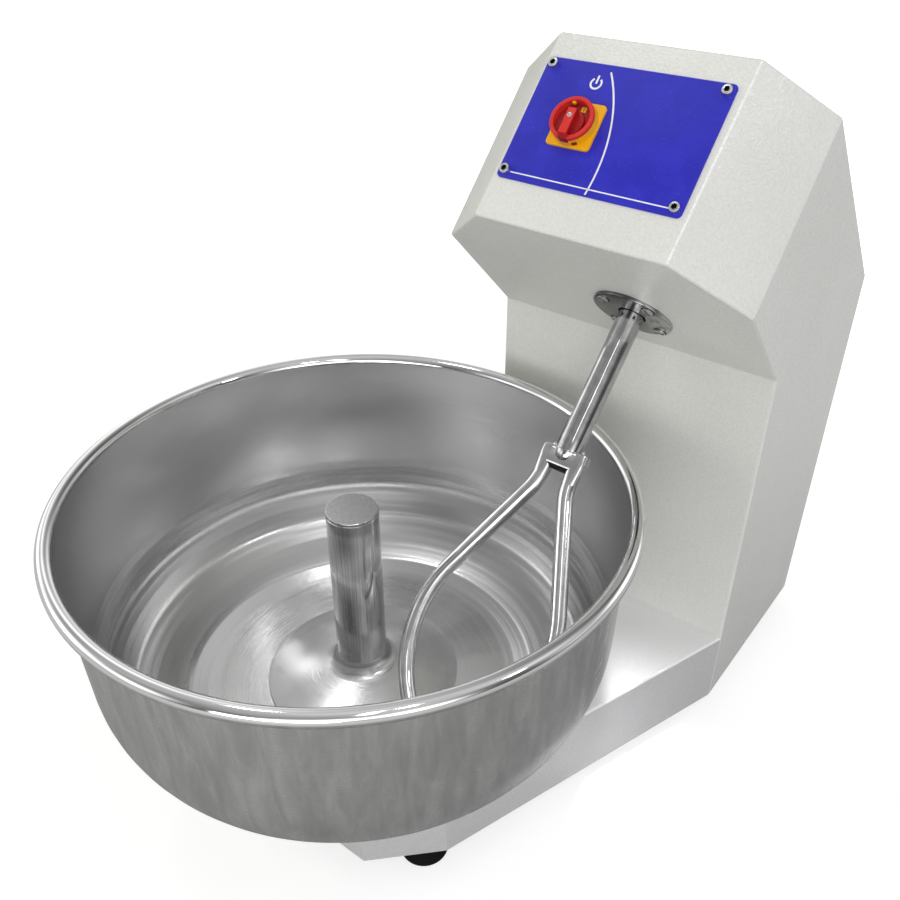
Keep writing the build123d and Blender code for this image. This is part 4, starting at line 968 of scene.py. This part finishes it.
# %% [markdown]
# ## Flange
# The shaft leaves the head through a polished flange with four sunk screws, and a rubber lip keeps flour
# out of the bearing. The flange and the lip are turned sections; a screw is a turned head, its slot is a
# dark bar laid on it as painted shade, and a dark ring round it stands for its countersink as painted
# shade.

# %% Flange
FLANGE_R, FLANGE_THICK, FLANGE_HOLE, FLANGE_EDGE = 45.0, 4.0, 15.6, 1.5

flange = turned(
    128,
    (FLANGE_HOLE, 0),
    (FLANGE_R, 0),
    (FLANGE_R, FLANGE_THICK - FLANGE_EDGE),
    (FLANGE_R - FLANGE_EDGE, FLANGE_THICK - FLANGE_EDGE, -90),
    (FLANGE_HOLE + 0.8, FLANGE_THICK),
    (FLANGE_HOLE + 0.8, FLANGE_THICK - 0.8, -90),
)
piece("flange_disc", flange, flange_steel, "housing", ("shaft_flange",), FORK)

lip = turned(96, (14.3, -3), (16.9, -3), (16.9, -0.1), (15.5, -0.1), (15.5, 2.6), (14.8, 3.4), (14.3, 2.8))
piece("flange_lip", lip, rubber, "housing", ("shaft_seal",), FORK)

SCREW_CIRCLE, SCREW_TURNS = 37, (45, 135, 225, 315)
screws = bmesh.new()
for turn in SCREW_TURNS:
    sunk = turned(40, (0, -11), (3, -11), (3, 3.4), (6.0, 3.4), (6.0, 5.4), (5.2, 6.2), (0, 6.5))
    shadow = turned(40, (5.9, 3.8), (7.6, 3.8), (7.6, 4.12), (5.9, 4.12))
    slot = bmesh.new()
    block(slot, (-5.3, -0.9, 5.6), (5.3, 0.9, 6.54))
    # The slot bar and the ring round the head take the dark steel, a painted shade.
    for dark in (shadow, slot):
        paint(dark, 1)
    join(sunk, shadow, slot)
    spot = Matrix.Rotation(math.radians(turn), 4, "Z") @ shift(SCREW_CIRCLE, 0, 0)
    # The turn taken as radians leaves each slot at an angle of its own
    bmesh.ops.transform(sunk, matrix=spot @ Matrix.Rotation(turn, 4, "Z"), verts=sunk.verts)
    join(screws, sunk)
piece("flange_screw_heads", screws, (zinc, painted_shade_steel), "housing", ("flange_screws",), FORK)

# %% [markdown]
# ## Housing
# Column and head are one folded and welded sheet. The solid is folded by the drawing, but on the machine
# the folds beside the panel stray outwards by a few millimetres, as hand-set folds do. So the solid's
# mesh is copied, and the corners along those two folds are moved; the sheet follows them.

# %% Housing
FOLD_REACH = 6 * MM
FLAT_CREASE = 4

housing = bmesh.new()
housing.from_mesh(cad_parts["column_shell"].data)
bmesh.ops.remove_doubles(housing, verts=housing.verts, dist=MERGE)
strayed = 0
for vert in housing.verts:
    for side, (low_shift, high_shift) in FOLD_SHIFTS.items():
        from_fold = vert.co - CHIN - Vector((side * PANEL_HALF, 0, 0))
        along = from_fold.dot(UPHILL)
        beside = (from_fold - UPHILL * along).length
        if beside < FOLD_REACH and -FOLD_REACH < along < PANEL_LENGTH + FOLD_REACH:
            share = min(max(along / PANEL_LENGTH, 0.0), 1.0)
            vert.co.x += side * (low_shift + (high_shift - low_shift) * share)
            strayed += 1
            break
print("corners moved", strayed, "of", len(housing.verts))
piece(
    "housing_sheet", housing, powder_coat, "housing", ("column_shell",), crease=FLAT_CREASE
)

# %% [markdown]
# ## Control plate
# A blue sheet carries the switch, held by a socket screw at each corner. Its white lines are printed on,
# so they are films of a tenth of a millimetre: the straight one is a thin box, the bowed one and the
# ring of the power mark are thin sections spun through an arc.

# %% Control plate
PANEL = Matrix.Translation(CHIN) @ Matrix.Rotation(SLOPE, 4, "X")
PLATE_X, PLATE_LOW, PLATE_HIGH, PLATE_THICK, PLATE_CORNER = 100.0, 43.5, 176.5, 2.0, 5.0
FILM, ROOT = 0.12, 0.05
PRINT_LOW, PRINT_HIGH = PLATE_THICK - ROOT, PLATE_THICK + FILM

plate = bmesh.new()
corners = block(plate, (-PLATE_X, PLATE_LOW, 0), (PLATE_X, PLATE_HIGH, PLATE_THICK))
round_edges(plate, edges_along(corners, 2), PLATE_CORNER, 8)
round_edges(plate, edges_above(plate, PLATE_THICK - 0.1), 0.4, 2)
piece("plate_sheet", plate, plate_blue, "housing", ("control_plate",), PANEL)

marks = bmesh.new()
block(marks, (-85.7, 49.9, PRINT_LOW), (86.0, 51.2, PRINT_HIGH))


def printed_arc(bm, start, centre, turn, width):
    """A flat printed line that follows an arc of the plate."""
    radial = (Vector(start) - Vector(centre)).normalized() * width / 2
    section = [
        bm.verts.new(((start[0] + s * radial.x) * MM, (start[1] + s * radial.y) * MM, h * MM))
        for s, h in ((-1, PRINT_LOW), (1, PRINT_LOW), (1, PRINT_HIGH), (-1, PRINT_HIGH))
    ]
    bmesh.ops.spin(
        bm,
        geom=[bm.faces.new(section)],
        cent=(centre[0] * MM, centre[1] * MM, 0),
        axis=(0, 0, 1),
        angle=math.radians(turn),
        steps=math.ceil(abs(turn) / BEND_STEP),
    )


bow_start, bow_middle, bow_end = (-27.7, 169.0), (-3.1, 116.5), (1.7, 44.8)
bow_centre, bow_turn = circle_through(bow_start, bow_middle, bow_end)
printed_arc(marks, bow_start, bow_centre, bow_turn, 1.8)
POWER_X, POWER_Y, POWER_R, POWER_GAP, POWER_WIDTH = -38.0, 155.5, 5.6, 38, 2.0
first = math.radians(90 - POWER_GAP)
printed_arc(
    marks,
    (POWER_X + POWER_R * math.cos(first), POWER_Y + POWER_R * math.sin(first)),
    (POWER_X, POWER_Y),
    -(360 - 2 * POWER_GAP),
    POWER_WIDTH,
)
block(marks, (POWER_X - POWER_WIDTH / 2, 155.2, PRINT_LOW), (POWER_X + POWER_WIDTH / 2, 164.0, PRINT_HIGH))
face_out(marks)
piece("plate_print", marks, print_white, "housing", (), PANEL)


def socket_head(bm, radius, height, socket, depth):
    """Head of a socket screw, standing on the XY plane: a ring bridged to a six-sided well."""
    well = bmesh.ops.create_circle(bm, segments=6, radius=socket / math.sqrt(3) * MM)["verts"]
    bmesh.ops.subdivide_edges(bm, edges=list({e for v in well for e in v.link_edges}), cuts=7)
    well_edges = bm.edges[:]
    ring = bmesh.ops.create_circle(bm, segments=48, radius=radius * MM)["verts"]
    ring_edges = list({e for v in ring for e in v.link_edges})
    bmesh.ops.translate(bm, verts=bm.verts, vec=(0, 0, height * MM))
    bmesh.ops.bridge_loops(bm, edges=well_edges + ring_edges)
    # The well's faces take the second finish, the dark steel, a painted shade in the socket.
    for rim, drop, shade in ((ring_edges, height, 0), (well_edges, depth, 1)):
        before = set(bm.faces)
        pushed = bmesh.ops.extrude_edge_only(bm, edges=rim)["geom"]
        bmesh.ops.translate(bm, verts=only(pushed, bmesh.types.BMVert), vec=(0, 0, -drop * MM))
        bmesh.ops.contextual_create(bm, geom=only(pushed, bmesh.types.BMEdge))
        for face in set(bm.faces) - before:
            face.material_index = shade
    face_out(bm)
    round_edges(bm, ring_edges, radius * 0.14, 3)


SCREW_X, SCREW_LOW, SCREW_HIGH = 92.0, 51.5, 168.5
HEAD_R, HEAD_HEIGHT, HEAD_SOCKET, SOCKET_DEPTH = 5.0, 4.5, 5.2, 3.0

heads = bmesh.new()
for x in (-SCREW_X, SCREW_X):
    for y in (SCREW_LOW, SCREW_HIGH):
        head = bmesh.new()
        socket_head(head, HEAD_R, HEAD_HEIGHT, HEAD_SOCKET, SOCKET_DEPTH)
        # Each head stops at an angle of its own
        spot = shift(x, y, PLATE_THICK) @ Matrix.Rotation(x + y, 4, "Z")
        bmesh.ops.transform(head, matrix=spot, verts=head.verts)
        join(heads, head)
piece("plate_screws", heads, (zinc, painted_shade_steel), "housing", ("control_plate_screws",), PANEL)

# %% [markdown]
# ## Main switch
# A red cup turns on a yellow plate. A bar crosses the cup to be gripped and points over its ring, a low
# half-moon fills the cup's right side, and small windows show the yellow below. Everything is a turned
# section or a rounded box; only the cup, with what stands in it, turns with the switch.

# %% Main switch
SWITCH_X, SWITCH_Y, KNOB_LIFT = -38, 109.5, 6.3
SWITCH = PANEL @ shift(SWITCH_X, SWITCH_Y, PLATE_THICK)
KNOB = SWITCH @ shift(0, 0, KNOB_LIFT)
SQUARE_HALF, SQUARE_THICK = 24, 3

escutcheon = bmesh.new()
corners = block(escutcheon, (-SQUARE_HALF, -SQUARE_HALF, 0), (SQUARE_HALF, SQUARE_HALF, SQUARE_THICK))
round_edges(escutcheon, edges_along(corners, 2), 4, 6)
round_edges(escutcheon, edges_above(escutcheon, SQUARE_THICK - 0.1), 0.8, 3)
collar = turned(96, (4.3, 2.5), (23.4, 2.5), (22.4, 10.3), (20.1, 10.3), (20.1, 5.8), (4.3, 5.8))
join(escutcheon, collar)
piece(
    "switch_escutcheon", escutcheon, switch_yellow, "housing", ("switch_plate",), SWITCH
)

# The lock slot is a dark red patch on the collar, painted shade in the slot.
lock_slot = bmesh.new()
slot_box = block(lock_slot, (-2.6, 20.6, 4.2), (2.6, 23.35, 7.8))
round_edges(lock_slot, edges_along(slot_box, 1), 0.4, 2)
slot_turn = Matrix.Rotation(math.radians(180 + 25), 4, "Z")
piece("switch_lock_slot", lock_slot, switch_red_shaded, "housing", (), SWITCH @ slot_turn)

cup = turned(
    96,
    (0, 0),
    (19.7, 0),
    (19.7, 4.4),
    (22.1, 4.4),
    (22.5, 4.8),
    (22.5, 7.8),
    (21.1, 7.8, -90),
    (19.3, 9.2),
    (19.3, 8.2, -85),
    (17.8, 3.8),
    (17.0, 3.8, 88),
    (0, 3.0),
)
BAR_HALF, BAR_NOSE, BAR_TAIL, BAR_TOP, CUP_FLOOR = 4.75, -22.6, 8.0, 13.2, 2.5
bar = bmesh.new()
block(bar, (-BAR_HALF, BAR_NOSE, CUP_FLOOR), (BAR_HALF, BAR_TAIL, BAR_TOP))
nose = [e for e in edges_above(bar, BAR_TOP - 0.2) if all(v.co.y < -22 * MM for v in e.verts)]
round_edges(bar, nose, 4.5, 1)
grip = [e for e in bar.edges if e in edges_above(bar, 5) or e in edges_along(bar.verts, 2)]
round_edges(bar, grip, 0.7, 3)
MOON_R, MOON_Y, MOON_RISE = 13.2, -3.6, 4
moon = bmesh.new()
bmesh.ops.create_circle(moon, cap_ends=True, segments=72, radius=MOON_R * MM)
bmesh.ops.translate(moon, verts=moon.verts, vec=(0, MOON_Y * MM, CUP_FLOOR * MM))
bmesh.ops.bisect_plane(
    moon,
    geom=moon.verts[:] + moon.edges[:] + moon.faces[:],
    plane_co=(0, 0, 0),
    plane_no=(-1, 0, 0),
    clear_outer=True,
)
top = bmesh.ops.extrude_face_region(moon, geom=moon.faces[:])["geom"]
bmesh.ops.translate(moon, verts=only(top, bmesh.types.BMVert), vec=(0, 0, MOON_RISE * MM))
face_out(moon)
round_edges(moon, edges_above(moon, 6), 1.0, 3)
# The cup's hollow, the bar's sides and the half-moon take the darker red, a painted shade.
for face in cup.faces:
    middle = face.calc_center_median()
    face.material_index = 0 if math.hypot(middle.x, middle.y) > 18.0 * MM else 1
for face in bar.faces:
    face.material_index = 0 if face.normal.z > 0.9 else 1
paint(moon, 1)
join(cup, bar, moon)
STEM_R, STEM_LENGTH = 4, 28
bmesh.ops.create_cone(
    cup,
    cap_ends=True,
    segments=32,
    radius1=STEM_R * MM,
    radius2=STEM_R * MM,
    depth=STEM_LENGTH * MM,
    matrix=shift(0, 0, -STEM_LENGTH / 2),
)
piece("switch_cup", cup, (switch_red, switch_red_shaded), "switch", ("switch_knob",), KNOB)

MARK_X, MARK_Y = 6.2, 12.2
OPENINGS = (((MARK_X, MARK_Y, 3.15), (2.6, 2.6, 0.3)), ((-5.0, 16.2, 6.2), (1.7, 1.2, 1.3)))
windows = bmesh.new()
for spot, size in OPENINGS:
    low = [a - b for a, b in zip(spot, size)]
    high = [a + b for a, b in zip(spot, size)]
    round_edges(windows, edges_along(block(windows, low, high), 2), 0.4, 2)
piece("switch_windows", windows, switch_yellow, "switch", (), KNOB)

naught_curve = bpy.data.curves.new("naught", "FONT")
naught_curve.body = "0"
naught_curve.size = 5.2 * MM
naught_curve.extrude = 0.08 * MM
naught_curve.align_x = naught_curve.align_y = "CENTER"
naught_object = bpy.data.objects.new("naught", naught_curve)
naught_mesh = bpy.data.meshes.new_from_object(naught_object)
naught = bmesh.new()
naught.from_mesh(naught_mesh)
bpy.data.objects.remove(naught_object)
bpy.data.meshes.remove(naught_mesh)
bpy.data.curves.remove(naught_curve)
bmesh.ops.remove_doubles(naught, verts=naught.verts, dist=1e-7)
mark_place = KNOB @ shift(MARK_X, MARK_Y, 3.5)
piece("switch_naught", naught, black_plastic, "switch", (), mark_place)

knob_screw = turned(
    48, (0, 12.5), (2.5, 12.5), (2.5, 13.5), (1.8, 13.5, -70), (1.1, 14.2), (0.8, 13.6), (0, 13.5)
)
for turn in (20, 110):
    cross = block(knob_screw, (-1.6, -0.3, 13.8), (1.6, 0.3, 14.26))
    spin = Matrix.Rotation(math.radians(turn), 3, "Z")
    bmesh.ops.rotate(knob_screw, verts=cross, cent=(0, 0, 0), matrix=spin)
piece("switch_screw", knob_screw, zinc, "switch", ("switch_knob_screw",), KNOB)

# %% [markdown]
# ## Feet
# Four black rubber feet are screwed under the floor plates. Each is one turned section with a soft lower
# edge and a groove that lets the rubber give.

# %% Feet
FOOT_EDGE = (0, 1.0), (12, 1.0), (13, 0), (25, 0), (25, 3.0, -84), (26.6, 14)
FOOT_GROOVE = (25.9, 15), (25.9, 17), (26.2, 18), (25.4, 25.5), (24, 25.5, -90), (0, 27)
for foot_name in ("foot_front_left", "foot_front_right", "foot_rear_left", "foot_rear_right"):
    low, high = (Vector(corner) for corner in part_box(foot_name))
    foot = turned(72, *FOOT_EDGE, *FOOT_GROOVE)
    spot = Matrix.Translation(((low.x + high.x) / 2, (low.y + high.y) / 2, 0))
    piece(f"rubber_{foot_name}", foot, rubber, "housing", (foot_name,), spot)

# %% [markdown]
# ## Finishes for the solids that stay
# Folded sheet, screws, bearings, gears and the motor keep their solids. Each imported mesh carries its
# slot's name on its material, so one table hands every solid its finish.

# %% Finishes for the solids
SLOT_FINISH = {
    "cream_paint": powder_coat,
    "blue_plate": plate_blue,
    "yellow_plastic": switch_yellow,
    "red_plastic": switch_red,
    "black_plastic": black_plastic,
    "zinc": zinc,
    "polished_steel": fork_steel,
    "bowl_steel": bowl_inside,
    "post_steel": post_steel,
    "black_rubber": rubber,
    "machined_steel": machined_steel,
    "cast_iron": cast_iron,
    "gear_bronze": gear_bronze,
    "motor_paint": motor_enamel,
}
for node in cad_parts.values():
    for material_slot in node.material_slots:
        material_slot.material = SLOT_FINISH[material_slot.material.name.split(".")[0]]
for material_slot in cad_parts["base_shell"].material_slots:
    material_slot.material = base_coat
low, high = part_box("base_shell")
print("base_shell from", tuple(low), "to", tuple(high))
print("solids with a finish", len(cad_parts))
